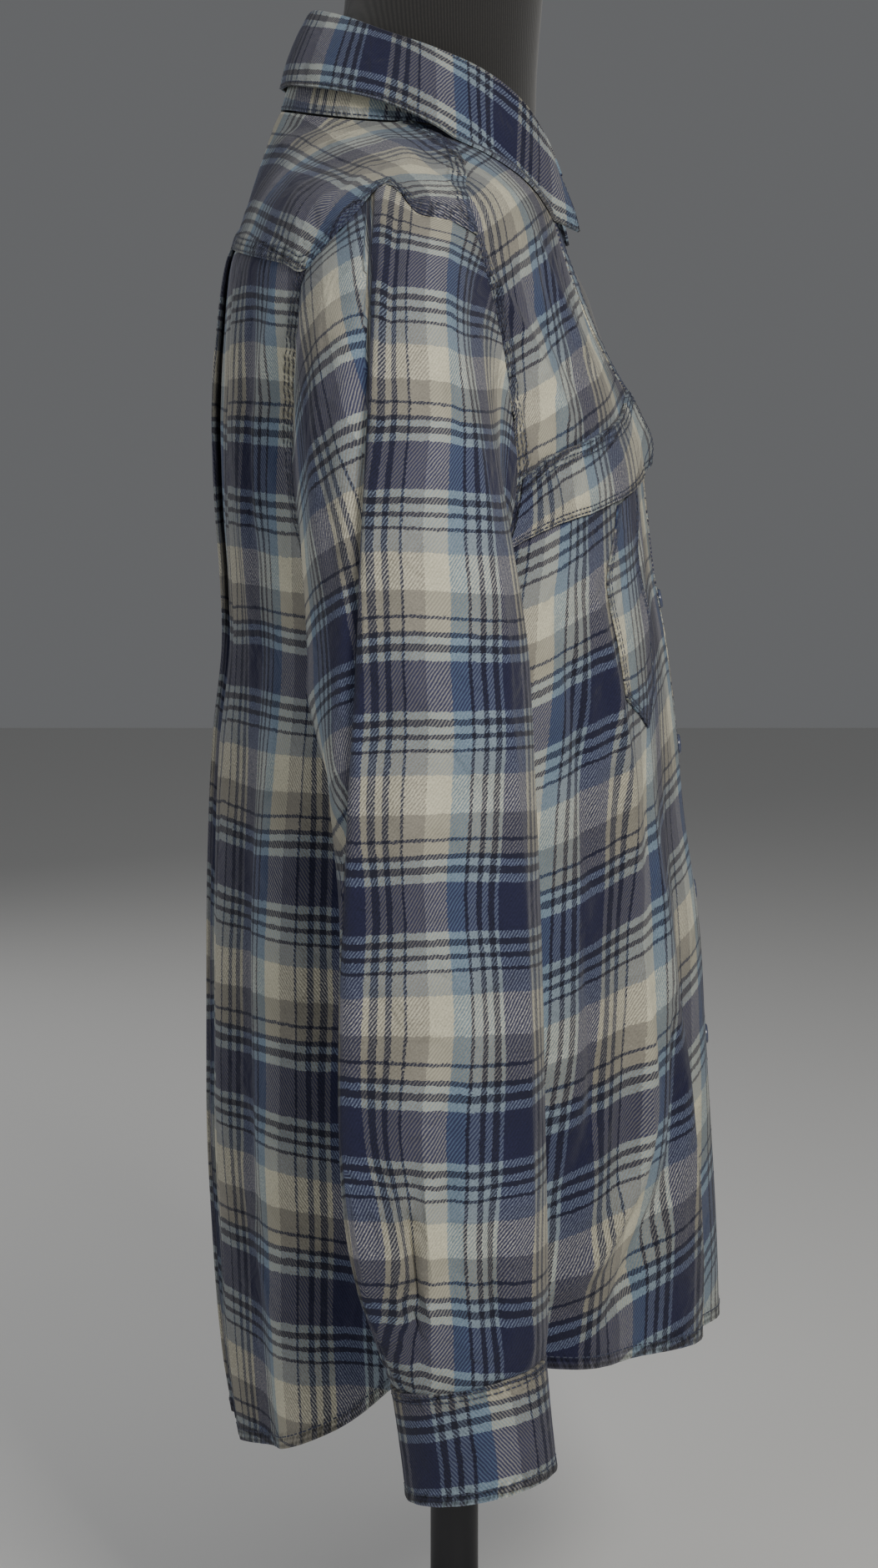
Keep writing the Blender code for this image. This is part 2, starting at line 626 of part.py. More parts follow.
add_wall("yoke", np.concatenate([yoke_right, mirror(yoke_right)[:, 1:]], axis=1), CLOTH, FLANNEL)


def snap(row, line, sideways_only=False):
    """Points of one edge moved onto a neighbour's edge line."""
    out = row.copy()
    for k, p in enumerate(row):
        best = None
        for a, b in zip(line[:-1], line[1:]):
            t = np.clip(np.dot(p - a, b - a) / np.dot(b - a, b - a), 0, 1)
            q = a + (b - a) * t
            d = np.linalg.norm(p - q)
            if best is None or d < best[0]:
                best = (d, q)
        if sideways_only:
            out[k, 2] = best[1][2]
        else:
            out[k] = best[1]
    return out


# ---- back: side seam to side seam with the box pleat in the middle
def hem_curve(table, count, corner, end_angle):
    """Hem from the side seam to the centre, as angles and heights."""
    part = np.linspace(0, 1, count)
    return np.stack([corner + (end_angle - corner) * part, smooth_columns(table, part)[0]], axis=1)


hem_corner = float(side_seam[-1][0])
back_hem = hem_curve(HEM_BACK, BACK_COLUMNS, hem_corner, half_turn)
edge_z = back_edge_rows[:, 1]
centre_z = CENTRE_SEAM + (152.0 - CENTRE_SEAM) * (edge_z[0] - edge_z) / (edge_z[0] - edge_z[-1])
back_centre = np.stack([np.full(BACK_ROWS, half_turn), centre_z], axis=1)
back_top = np.stack([np.interp(np.linspace(0, 1, BACK_COLUMNS), np.linspace(0, 1, len(yoke_back)),
                               yoke_back[:, k]) for k in range(2)], axis=1)
back_grid = fill_patch(back_top, back_hem, back_edge_rows, back_centre)


def add_pleat(half, columns):
    """Even columns up to the box pleat, then the pleat's own columns to the centre."""
    rows = []
    for i, row in enumerate(half):
        down = i / (len(half) - 1)
        layer = 1.9 + 0.9 * ease(down / 0.12)
        tuck = 9.0 - 26.0 * ease((down - 0.12) / 0.7)
        edge = PLEAT_HALF + 5.0 * ease((down - 0.2) / 0.8)
        way = np.clip(tuck / 9.0, -1, 1)
        inner = edge - tuck
        wanted = [inner + 14.0, inner + 2.0, inner, inner + 2.0 * way, edge - 2.0 * way, edge, edge - 2.0,
                  edge * 0.5, 0.0]
        part = 0.17 * (1 - abs(way))
        rise = np.array([0.0, 0.0, 0.5, 1.0 - part, 1.0 + part, 1.5, 2.0, 2.1, 2.1]) * layer
        distance = np.abs(row[:, 0])
        order = np.argsort(distance)
        y = np.interp(wanted, distance[order], row[order, 1]) + rise
        z = np.interp(wanted, distance[order], row[order, 2])
        pleat = np.stack([-np.array(wanted), y, z], axis=1)
        outside = row[distance > inner + 20.0]
        path = np.concatenate([outside, pleat[:1]])
        run = np.concatenate([[0], np.cumsum(np.linalg.norm(np.diff(path, axis=0), axis=1))])
        even = np.linspace(0, run[-1], columns)
        line = np.stack([np.interp(even, run, path[:, k]) for k in range(3)], axis=1)
        rows.append(np.concatenate([line, pleat[1:]]))
    return np.array(rows)


back_right = add_pleat(body_points(back_grid, FOLDS_RIGHT), 14)
back_left = add_pleat(body_points(back_grid, FOLDS_LEFT), 14)
for half in (back_right, back_left):
    half[0] = snap(half[0], yoke_mid[-1], sideways_only=True)
    half[0, :10] = snap(half[0, :10], yoke_mid[-1])
back_right_rim = back_right[:9, 0].copy()
back_right_next = back_right[:9, 1].copy()
back_right = trim(back_right, ["top", "left"])
back_left = trim(back_left, ["top", "left"])
add_wall("back_panel", np.concatenate([back_right, mirror(back_left)[:, 1:]], axis=1), CLOTH, FLANNEL)


# ---- fronts: armhole and side seam on one side, neck and front band on the other
def edge_point(z, column):
    """Angle and height on the free edge (0) or the seam (1) of the front band."""
    return (float(angle_from_side(smooth_columns(FRONT_EDGE, z)[column], z, -1.0)), float(z))


seam_rows = [tuple(p) for p in resample(neck_front, 3)]
seam_rows += [edge_point(z, 1) for z in SEAM_ROWS]
for z in front_edge_rows[ARM_ROWS:, 1]:
    t = (front_edge_rows[ARM_ROWS - 1][1] - z) / (front_edge_rows[ARM_ROWS - 1][1] - 240.0)
    seam_rows.append(edge_point(SEAM_ROWS[-1] + (197.0 - SEAM_ROWS[-1]) * t, 1))
seam_rows = np.array(seam_rows)
front_top = resample(yoke_front[::-1], FRONT_COLUMNS)
front_hem = hem_curve(HEM_FRONT, FRONT_COLUMNS, hem_corner, seam_rows[-1][0])
front_grid = fill_patch(front_top, front_hem, front_edge_rows, seam_rows)


def pull_at_button(grid):
    """The fronts stand out where the first fastened button holds them."""
    degrees = np.degrees(grid[..., 0])
    near = np.exp(-((grid[..., 1] - 716.0) / 11.0) ** 2) * np.exp(-((degrees + 90.0) / 16.0) ** 2)
    return 4.0 * near


def layer_lift(z):
    return LAYER_STEP * ease((LAYER_TOP - z) / (LAYER_TOP - LAYER_FULL))


front_mid = {}
for side, folds in (("right", FOLDS_RIGHT), ("left", FOLDS_LEFT)):
    lift = pull_at_button(front_grid)
    if side == "right":
        near_band = ease((np.arange(FRONT_COLUMNS) - (FRONT_COLUMNS - 4)) / 3.0)[None, :]
        lift = lift + layer_lift(front_grid[..., 1]) * near_band
    points = body_points(front_grid, folds, lift)
    points[0] = snap(points[0], yoke_mid[::-1, 0])
    front_mid[side] = points
    points = trim(trim(points, ["left", "right"]), ["top"], 1.2)
    if side == "right":
        add_wall("front_right", points, CLOTH, FLANNEL)
    else:
        add_wall("front_left", mirror(points), CLOTH, FLANNEL)

# ---- front bands: each is a double strip sewn along its front's edge
BAND_COLUMNS = 4
BAND_ROWS = [2.0 + 0.5 * k for k in range(17)] + [float(k) for k in range(11, ROWS)]
neck_end = plan_curve([NECK_END])[0]
band_mid = {}
for side, folds in (("right", FOLDS_RIGHT), ("left", FOLDS_LEFT)):
    seam_line = front_mid[side][:, -1]
    grid = np.zeros((len(BAND_ROWS), BAND_COLUMNS, 2))
    for i, r in enumerate(BAND_ROWS):
        k = min(int(r), ROWS - 2)
        start = seam_rows[k] + (seam_rows[k + 1] - seam_rows[k]) * (r - k)
        end = np.array(edge_point(start[1], 0))
        if r < 5.0:
            end = neck_end + (np.array(edge_point(seam_rows[5][1], 0)) - neck_end) * (r - 2.0) / 3.0
        for j in range(BAND_COLUMNS):
            grid[i, j] = start + (end - start) * j / (BAND_COLUMNS - 1)
    lift = pull_at_button(grid)
    if side == "right":
        lift = lift + layer_lift(grid[..., 1])
    points = body_points(grid, folds, lift)
    for i, r in enumerate(BAND_ROWS):
        k = min(int(r), ROWS - 2)
        points[i, 0] = seam_line[k] + (seam_line[k + 1] - seam_line[k]) * (r - k)
    band_mid[side] = points
    points = trim(points, ["left"])
    if side == "right":
        add_wall("band_right", points, DOUBLE, FLANNEL_DOUBLE)
    else:
        add_wall("band_left", mirror(points), DOUBLE, FLANNEL_DOUBLE)


def lay_on(panel, rows, columns, lift, closed=False):
    """Points at grid positions of a panel, moved out from it by lift."""
    normal = -grid_normals(panel, True) if closed else outward_normals(panel)
    lift = np.broadcast_to(lift, (len(rows), len(columns)))
    out = np.zeros((len(rows), len(columns), 3))
    count = panel.shape[1]
    for i, r in enumerate(rows):
        for j, c in enumerate(columns):
            ri = r[j] if np.ndim(r) else r
            k = min(int(ri), panel.shape[0] - 2)
            m = int(c) if closed else min(int(c), count - 2)
            t = ri - k
            u = c - m
            n = (m + 1) % count
            m = m % count
            p = ((1 - t) * ((1 - u) * panel[k, m] + u * panel[k, n])
                 + t * ((1 - u) * panel[k + 1, m] + u * panel[k + 1, n]))
            w = ((1 - t) * ((1 - u) * normal[k, m] + u * normal[k, n])
                 + t * ((1 - u) * normal[k + 1, m] + u * normal[k + 1, n]))
            out[i, j] = p + w / np.linalg.norm(w) * lift[i, j]
    return out


# ---- chest pockets and the flaps over them, made from the fronts' own points
POCKET_COLUMNS = [9.2, 10.0, 11.0, 12.0, 12.5]
POCKET_ROWS = [8.45, 9.0, 10.0, 11.0]
POCKET_POINT = [11.7, 11.95, 12.25, 11.9, 11.7]
FLAP_COLUMNS = [0.35] + [float(k) for k in range(1, 18)] + [17.4]
for side in ("right", "left"):
    panel = front_mid[side]
    lift = CLOTH + SEAM_GAP + 0.25
    pocket = lay_on(panel, POCKET_ROWS + [POCKET_POINT], POCKET_COLUMNS, lift)
    under_flap = np.interp(FLAP_COLUMNS, [8.0, 9.0, 12.7, 14.0], [0.0, 1.7, 1.7, 0.0])
    free_end = ease((np.array(FLAP_COLUMNS) - 13.0) / 4.4)
    base = (CLOTH + DOUBLE) / 2 + SEAM_GAP + 0.05
    flap_lift = [base + 0 * free_end, base + 0.5 + under_flap + 1.0 * free_end,
                 base + 1.2 + under_flap + 3.0 * free_end]
    flap_edge = 8.12 + 0.38 * np.array(FLAP_COLUMNS) / 17.4
    flap = lay_on(panel, [7.0, 7.6, flap_edge], FLAP_COLUMNS, np.array(flap_lift))
    if side == "right":
        add_wall("pocket_right", pocket, CLOTH, FLANNEL)
        add_wall("flap_right", flap, DOUBLE, FLANNEL_DOUBLE)
    else:
        add_wall("pocket_left", mirror(pocket), CLOTH, FLANNEL)
        add_wall("flap_left", mirror(flap), DOUBLE, FLANNEL_DOUBLE)

# ---------------------------------------------------------------- sleeves
def ring_at(row):
    """One level ring of the sleeve at its columns."""
    z = row[0]
    stations = list(zip(STATION_SHARE, row[1:]))
    wrapped = [(share - 1.0, o, y) for share, (o, y) in stations[-3:]]
    wrapped += [(share, o, y) for share, (o, y) in stations]
    wrapped += [(share + 1.0, o, y) for share, (o, y) in stations[:3]]
    o, y = smooth_columns(wrapped, np.array(COLUMN_SHARE))
    return np.stack([-o, y, np.full(len(o), z)], axis=1)


def cuff_point(turn, down, inset=0.0):
    """A point of the cuff: turn in radians round it, down its tilted axis in millimetres."""
    shrink = 1 + (CUFF_TAPER - 1) * down / CUFF_HEIGHT
    o = (CUFF_RADII[0] - inset) * shrink * math.cos(turn)
    y = (CUFF_RADII[1] - inset) * shrink * math.sin(turn)
    tilt = math.radians(CUFF_TILT)
    return np.array([-(CUFF_CENTRE[0] + o),
                     CUFF_CENTRE[1] + y * math.cos(tilt) - down * math.sin(tilt) * 0.6,
                     CUFF_CENTRE[2] - y * math.sin(tilt) - down * math.cos(tilt)])


armhole_ring = np.concatenate([yoke_mid[-1, :7], back_right_rim[1:],
                               front_mid["right"][1:ARM_ROWS - 1, 0][::-1]])
armhole_inner = np.concatenate([yoke_mid[-2, :7], back_right_next[1:],
                                front_mid["right"][1:ARM_ROWS - 1, 1][::-1]])
first_level = ring_at(SLEEVE_RINGS[0])
HANG_STEPS = (0.0, 0.1, 0.23, 0.38, 0.54, 0.7, 0.85)
fall = (armhole_ring[:, 2].max() - armhole_ring[:, 2]) / np.ptp(armhole_ring[:, 2])
leave = np.stack([-np.ones(len(fall)), 0 * fall, -0.45 - 0.75 * fall], axis=1)
leave = leave / np.linalg.norm(leave, axis=1, keepdims=True)
sleeve_start = leave_edge(armhole_ring, armhole_ring - armhole_inner, leave, CLOTH / 2, closed=True)
reach = np.linalg.norm(first_level - sleeve_start, axis=1)
m0 = leave * (reach * (0.85 - 0.25 * fall))[:, None]
m1 = np.array([0.0, 0.0, -1.0]) * (reach * 0.9)[:, None]
sleeve_rows = []
for t in HANG_STEPS:
    sleeve_rows.append((2 * t ** 3 - 3 * t ** 2 + 1) * sleeve_start + (t ** 3 - 2 * t ** 2 + t) * m0
                       + (-2 * t ** 3 + 3 * t ** 2) * first_level + (t ** 3 - t ** 2) * m1)
for row in SLEEVE_RINGS:
    sleeve_rows.append(ring_at(row))
# two pleats are folded into the cuff behind the outer face
for ring, depth in ((sleeve_rows[-1], 3.5), (sleeve_rows[-2], 3.0), (sleeve_rows[-3], 1.5)):
    centre = ring.mean(axis=0)
    for k, sign in ((1, 0.3), (2, -1.0), (3, 0.6), (4, -0.8), (5, 0.4)):
        way = ring[k] - centre
        ring[k] += way / np.linalg.norm(way) * depth * sign
last = sleeve_rows[-1]
turns = np.arctan2((last[:, 1] - CUFF_CENTRE[1]) / CUFF_RADII[1],
                   (-last[:, 0] - CUFF_CENTRE[0]) / CUFF_RADII[0])
sleeve_rows.append(np.array([cuff_point(turn, -SEAM_GAP - 0.3) for turn in turns]))
sleeve_mid = np.array(sleeve_rows)
add_wall("sleeve_right", sleeve_mid, CLOTH, FLANNEL, closed=True)
add_wall("sleeve_left", mirror(sleeve_mid), CLOTH, FLANNEL, closed=True)

# ---- sleeve plackets: a strip over the slit above each cuff's opening
placket = lay_on(sleeve_mid, [11.0, 12.0, 13.0, 14.0, 14.9], [8.1, 9.0, 9.9],
                 (CLOTH + CLOTH) / 2 + SEAM_GAP + 0.1, closed=True)
add_wall("placket_right", placket, CLOTH, FLANNEL)
add_wall("placket_left", mirror(placket), CLOTH, FLANNEL)

# ---- cuffs: a stiff band each, its ends lapped at the opening
CUFF_COLUMNS = 27
cuff_grid = np.zeros((3, CUFF_COLUMNS, 3))
start_turn = math.radians(CUFF_OPENING)
lap = 0.55
for j in range(CUFF_COLUMNS):
    along = (2 * math.pi + lap) * j / (CUFF_COLUMNS - 1)
    inset = 2.9 * (1 - ease((along - lap * 0.9) / 0.8))
    for i in range(3):
        cuff_grid[i, j] = cuff_point(start_turn + along, CUFF_HEIGHT * i / 2, float(inset))
add_wall("cuff_right", cuff_grid, DOUBLE, FLANNEL_DOUBLE)
add_wall("cuff_left", mirror(cuff_grid), DOUBLE, FLANNEL_DOUBLE)

# ---------------------------------------------------------------- collar
# the stand rises from the neck edge; the leaf is sewn to its top, folds over and falls outside
COLLAR_HALF = 13
STAND_HEIGHT = 31.0
YOKE_NECK = yoke_mid.shape[1]        # neck points that belong to the yoke
neck_line = np.concatenate([yoke_mid[0, ::-1], front_mid["right"][1:3, -1], band_mid["right"][0, 1:]])
neck_turn = np.degrees(np.arctan2(neck_line[:, 1] - 25.0, -neck_line[:, 0]))
shares = np.linspace(0, 1, COLLAR_HALF)
fold = np.array(smooth_columns(COLLAR_FOLD, shares)).T * np.array([-1.0, 1.0, 1.0])
edge = np.array(smooth_columns(COLLAR_EDGE, shares)).T * np.array([-1.0, 1.0, 1.0])
fold_turn = np.degrees(np.arctan2(fold[:, 1] - 25.0, -fold[:, 0]))
foot_turn = 90.0 - (90.0 - fold_turn) * (90.0 - neck_turn[-1]) / (90.0 - fold_turn[-1])
for corner in neck_turn[YOKE_NECK - 1:YOKE_NECK + 2]:
    foot_turn[np.argmin(np.abs(foot_turn - corner))] = corner
order = np.argsort(neck_turn)
foot = np.stack([np.interp(foot_turn, neck_turn[order], neck_line[order, k]) for k in range(3)], axis=1)
rise = fold - foot
rise_length = np.linalg.norm(rise, axis=1, keepdims=True)
rise = rise / rise_length
hole_way = np.array([0.0, 25.0, 0.0]) - foot * np.array([1.0, 1.0, 0.0]) + np.array([0.0, 0.0, 15.0])
both_foot = np.concatenate([foot[:0:-1] * np.array([-1.0, 1.0, 1.0]), foot])
both_hole = np.concatenate([hole_way[:0:-1] * np.array([-1.0, 1.0, 1.0]), hole_way])
both_rise = np.concatenate([rise[:0:-1] * np.array([-1.0, 1.0, 1.0]), rise])
stand_foot = leave_edge(both_foot, both_hole, both_rise, DOUBLE / 2)[COLLAR_HALF - 1:]
stand_foot = stand_foot + rise * 0.5
stand_share = 0.5 - 0.18 * ease((shares - 0.75) / 0.25)[:, None]
stand_top = stand_foot + rise * np.minimum(STAND_HEIGHT, stand_share * rise_length)
stand = np.array([stand_foot + (stand_top - stand_foot) * t for t in (0.0, 0.5, 1.0)])
stand = push_clear(stand, FORM, 2.6)


def both_sides(right_half):
    """Columns of both sides from those of the right half, centre first."""
    return np.concatenate([right_half[:, :0:-1] * np.array([-1.0, 1.0, 1.0]), right_half], axis=1)


add_wall("collar_stand", both_sides(stand), DOUBLE, FLANNEL_DOUBLE)
fall_way = edge - fold
fall_way = fall_way / np.linalg.norm(fall_way, axis=1, keepdims=True)
crown = rise - fall_way
crown = crown / np.linalg.norm(crown, axis=1, keepdims=True)
across = rise + fall_way
across = across / np.linalg.norm(across, axis=1, keepdims=True)
leaf_gap = SEAM_GAP + 0.1 + 0.9 * ease((shares - 0.7) / 0.3)
inner_drop = 3.0 - 1.2 * ease((shares - 0.85) / 0.15)[:, None]
leaf_rows = [stand[-1] + rise * leaf_gap[:, None], fold - crown * inner_drop - across * 1.5,
             fold - crown * 0.7 - across * 0.9, fold - crown * 0.7 + across * 0.9,
             fold - crown * 3.0 + across * 1.5]
under = leaf_rows[-1]
for t in (0.3, 0.65, 1.0):
    leaf_rows.append(under + (edge - under) * t + across * 1.8 * math.sin(math.pi * t))
leaf = np.array(leaf_rows)
low = leaf[5:]
cleared = push_clear(low, SHIRT, (CLOTH + DOUBLE) / 2 + 0.6)
leaf[5:] = np.where(low[..., 2:] < 908.0, cleared, low)
add_wall("collar_leaf", both_sides(leaf), DOUBLE, FLANNEL_DOUBLE)


# ---------------------------------------------------------------- buttons
BUTTON_SIDES = 14


def add_button(name, centre, normal):
    """A button lying on cloth at the centre, facing along the normal."""
    normal = normal / np.linalg.norm(normal)
    side = np.cross(normal, np.array([0.3, 0.2, 1.0]))
    side = side / np.linalg.norm(side)
    other = np.cross(normal, side)
    rings = []
    for radius, height in ((BUTTON_RADIUS - 0.9, 0.0), (BUTTON_RADIUS, 0.7),
                           (BUTTON_RADIUS, BUTTON_THICKNESS - 0.5), (BUTTON_RADIUS - 0.7, BUTTON_THICKNESS)):
        turns = 2 * np.pi * np.arange(BUTTON_SIDES) / BUTTON_SIDES
        rings.append([centre + normal * height + (side * math.cos(t) + other * math.sin(t)) * radius
                      for t in turns])
    add_stack(name, rings, BUTTON)


def on_wall(panel, row, column, gap):
    """Point just outside a band's outer face at a grid position, and its normal."""
    face = lay_on(panel, [row], [column], DOUBLE / 2 + gap)[0, 0]
    core = lay_on(panel, [row], [column], 0.0)[0, 0]
    return face, face - core


def band_row_at(panel, z):
    """Fractional row of a band at a height."""
    heights = panel[:, 1, 2]
    return float(np.interp(-z, -heights, np.arange(len(heights))))


flip = np.array([-1.0, 1.0, 1.0])
for k in range(5):
    z = FIRST_BUTTON - BUTTON_PITCH * k
    panel = band_mid["right"]
    centre, normal = on_wall(panel, band_row_at(panel, z), 1.5, SEAM_GAP + (0.8 if k == 0 else 0.05))
    add_button("front_button_%d" % (k + 1), centre, normal)
panel = band_mid["left"]
centre, normal = on_wall(panel, band_row_at(panel, FIRST_BUTTON + BUTTON_PITCH), 1.5, SEAM_GAP + 0.1)
add_button("band_button", centre * flip, normal * flip)
lap_point = cuff_point(start_turn + 0.28, CUFF_HEIGHT / 2)
lap_way = lap_point - cuff_point(start_turn + 0.28, CUFF_HEIGHT / 2, 5.0)
lap_way = lap_way / np.linalg.norm(lap_way)
for side, way in (("right", np.ones(3)), ("left", flip)):
    seat = lap_point + lap_way * (DOUBLE / 2 + SEAM_GAP + 0.15)
    add_button("cuff_button_" + side, seat * way, lap_way * way)
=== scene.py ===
import math

import bpy
import numpy as np
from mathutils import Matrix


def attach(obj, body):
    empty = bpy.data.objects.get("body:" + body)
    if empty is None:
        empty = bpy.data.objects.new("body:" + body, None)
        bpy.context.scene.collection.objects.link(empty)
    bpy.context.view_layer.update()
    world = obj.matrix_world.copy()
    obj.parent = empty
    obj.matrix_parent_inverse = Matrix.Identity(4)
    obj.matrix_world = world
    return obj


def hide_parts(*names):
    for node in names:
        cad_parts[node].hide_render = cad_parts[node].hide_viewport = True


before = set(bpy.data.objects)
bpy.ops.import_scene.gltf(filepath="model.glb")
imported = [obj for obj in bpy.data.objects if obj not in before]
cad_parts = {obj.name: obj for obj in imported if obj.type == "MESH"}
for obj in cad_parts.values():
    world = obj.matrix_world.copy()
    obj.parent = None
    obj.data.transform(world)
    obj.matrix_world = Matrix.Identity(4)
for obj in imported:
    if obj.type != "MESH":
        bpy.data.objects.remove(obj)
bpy.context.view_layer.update()        # bodies, nodes
MM = 0.001

# ================================================================ dress form
# A limbless torso of hard foam in a tight charcoal cotton jersey cover; its neck stands out of
# the collar and the shirt hangs on its shoulders. It is turned from level sections.
FORM = [  # height, half width, front y, back y, roundness, breast bone bulge
    (288, 150, -88, 104, 2.3, 0), (300, 158, -94, 110, 2.3, 0),
    (330, 163, -98, 115, 2.3, 0), (385, 163, -97, 116, 2.3, 0),
    (440, 156, -92, 112, 2.3, 0), (500, 150, -88, 109, 2.3, 0),
    (560, 152, -92, 114, 2.3, 0), (620, 162, -98, 122, 2.25, 0),
    (680, 174, -100, 128.5, 2.2, 0), (715, 180, -99, 131.5, 2.15, 0.5),
    (740, 184, -95.5, 132, 2.1, 3.5), (755, 186, -89, 131.5, 2.1, 6.3),
    (779, 188, -77.8, 130, 2.1, 7.4), (798, 189, -72, 128.5, 2.1, 7),
    (814, 189.5, -67.5, 126.5, 2.1, 4), (828, 188.5, -60.5, 123.8, 2.1, 1),
    (838, 186, -57, 121, 2.05, 0), (847, 180, -54.8, 118.6, 2, 0),
    (855, 170, -53, 116, 1.95, 0), (862, 160.5, -51.5, 114, 1.92, 0),
    (868.1, 150, -49.8, 112, 1.9, 0), (877.6, 124.5, -47, 109, 1.9, 0),
    (886.6, 99, -45.5, 105.5, 1.9, 0), (894, 77, -45.5, 102.5, 1.9, 0),
    (900, 70.5, -46, 99.5, 1.95, 0), (908, 66.5, -47.8, 93.5, 2, 0),
    (918, 62.5, -48, 84.5, 2, 0), (930, 60, -48.4, 76.5, 2, 0),
    (948, 58, -49.6, 69, 2, 0), (968, 57, -51.3, 64.8, 2, 0),
    (996, 56.5, -53.2, 62.5, 2, 0), (1003, 52.5, -49.5, 58.5, 2, 0),
]


def smooth_columns(table, where):
    """Monotone cubic interpolation of a table's columns by its first column."""
    rows = np.array(sorted(table), dtype=float)
    x = rows[:, 0]
    out = []
    where = np.clip(np.asarray(where, dtype=float), x[0], x[-1])
    h = np.diff(x)
    i = np.clip(np.searchsorted(x, where, side="right") - 1, 0, len(x) - 2)
    t = (where - x[i]) / h[i]
    for k in range(1, rows.shape[1]):
        y = rows[:, k]
        slope = np.diff(y) / h
        m = np.zeros(len(x))
        m[0] = slope[0]
        m[-1] = slope[-1]
        for j in range(1, len(x) - 1):
            if slope[j - 1] * slope[j] > 0:
                w1 = 2 * h[j] + h[j - 1]
                w2 = h[j] + 2 * h[j - 1]
                m[j] = (w1 + w2) / (w1 / slope[j - 1] + w2 / slope[j])
        a = (1 + 2 * t) * (1 - t) ** 2 * y[i] + t * (1 - t) ** 2 * h[i] * m[i]
        b = t * t * (3 - 2 * t) * y[i + 1] + t * t * (t - 1) * h[i] * m[i + 1]
        out.append(a + b)
    return out


def ease(value):
    """Smooth step from 0 to 1."""
    value = np.clip(value, 0.0, 1.0)
    return value * value * (3 - 2 * value)


def bell(x, middle, width):
    """1 at the middle, fading to both sides."""
    return np.exp(-((x - middle) / width) ** 2)


def add_piece(name, vertices, faces, material, grain=None, corners=None, marks=None, sharp=50.0):
    """A mesh piece in millimetres, with its cloth coordinates and named marks on its points."""
    mesh = bpy.data.meshes.new(name)
    mesh.from_pydata((np.asarray(vertices) * MM).tolist(), [],
                     faces if isinstance(faces, list) else faces.tolist())
    mesh.materials.append(material)
    if grain is not None:
        layer = mesh.uv_layers.new(name="grain")
        if corners is None:
            index = np.zeros(len(mesh.loops), dtype=int)
            mesh.loops.foreach_get("vertex_index", index)
        else:
            index = np.asarray(corners).ravel()
        layer.data.foreach_set("uv", np.asarray(grain)[index].astype(float).ravel())
    for key, values in (marks or {}).items():
        spots = mesh.attributes.new(key, "FLOAT", "POINT")
        spots.data.foreach_set("value", np.asarray(values, dtype=float).ravel())
    mesh.shade_smooth()
    mesh.set_sharp_from_angle(angle=math.radians(sharp))
    piece = bpy.data.objects.new(name, mesh)
    bpy.context.scene.collection.objects.link(piece)
    return piece


def linear(code):
    """Linear colour of an sRGB hex code."""
    parts = [int(code[k:k + 2], 16) / 255 for k in (0, 2, 4)]
    return tuple(c / 12.92 if c <= 0.04045 else ((c + 0.055) / 1.055) ** 2.4 for c in parts) + (1.0,)


def add_node(tree, kind, inputs=None, **settings):
    """A node with its settings, its values and its links."""
    node = tree.nodes.new(kind)
    for key, value in settings.items():
        setattr(node, key, value)
    for key, value in (inputs or {}).items():
        if isinstance(value, bpy.types.NodeSocket):
            tree.links.new(value, node.inputs[key])
        else:
            node.inputs[key].default_value = value
    return node


def new_material(name):
    """A material, its nodes and its shader."""
    material = bpy.data.materials.new(name)
    material.use_nodes = True
    return material, material.node_tree, material.node_tree.nodes["Principled BSDF"]


def calc(tree, operation, *values, **settings):
    """The result of one step of arithmetic."""
    step = add_node(tree, "ShaderNodeMath", dict(enumerate(values)), operation=operation, **settings)
    return step.outputs[0]


def noise(tree, at, scale, detail, roughness=0.5, distortion=0.0):
    """A noise texture at a vector."""
    return add_node(tree, "ShaderNodeTexNoise", {"Vector": at, "Scale": scale, "Detail": detail,
                                                 "Roughness": roughness, "Distortion": distortion})


def two_tones(tree, share, dark, light, full=1.0):
    """A colour between a dark and a light tone, fully light from a share on."""
    ramp = add_node(tree, "ShaderNodeValToRGB", {0: share})
    low, high = ramp.color_ramp.elements
    low.color = linear(dark)
    high.color = linear(light)
    high.position = full
    return ramp.outputs[0]


def bump(tree, height, strength, distance, under=None):
    """A surface normal raised by a height, over another one where it is given."""
    inputs = {"Height": height, "Strength": strength, "Distance": distance}
    if under is not None:
        inputs["Normal"] = under
    return add_node(tree, "ShaderNodeBump", inputs).outputs[0]


def belongs(piece, node=None):
    """The piece rides on the one root body, in place of a CAD node where one is given."""
    if node:
        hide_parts(node)
    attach(piece, "root")


# cotton jersey, knitted fine and stretched tight: a dull cloth with faint upright wales
jersey, tree, shader = new_material("charcoal_cotton_jersey")
cloth_map = add_node(tree, "ShaderNodeUVMap", uv_map="grain").outputs[0]
# wales 0.9 mm apart are too fine to show, so they are drawn 1.6 mm apart
wales = add_node(tree, "ShaderNodeTexWave", {"Vector": cloth_map, "Scale": 0.195, "Distortion": 1.2,
                                             "Detail": 2.0, "Detail Scale": 0.6},
                 wave_type="BANDS", bands_direction="X")
fibre = noise(tree, cloth_map, 0.55, 5.0, 0.7)
pile = calc(tree, "MULTIPLY", wales.outputs["Fac"], fibre.outputs["Fac"])
tree.links.new(two_tones(tree, pile, "131212", "2b2927", 0.75), shader.inputs["Base Color"])
shader.inputs["Roughness"].default_value = 0.95
shader.inputs["Sheen Weight"].default_value = 0.18
shader.inputs["Sheen Roughness"].default_value = 0.6
tree.links.new(bump(tree, pile, 0.35, 0.0004), shader.inputs["Normal"])

FORM_SIDES = 96
BREAST_WIDTH = 40.0
ROLL_START, ROLL_HEIGHT, ROLL_DEPTH = 994.0, 9.0, 6.5
form_levels = np.concatenate([np.linspace(288, 700, 52), np.linspace(706, ROLL_START, 60),
                              [996.5, 998.6, 1000.3, 1001.6, 1002.5, 1003.0]])
a, front, back, n, bulge = smooth_columns(FORM, form_levels)
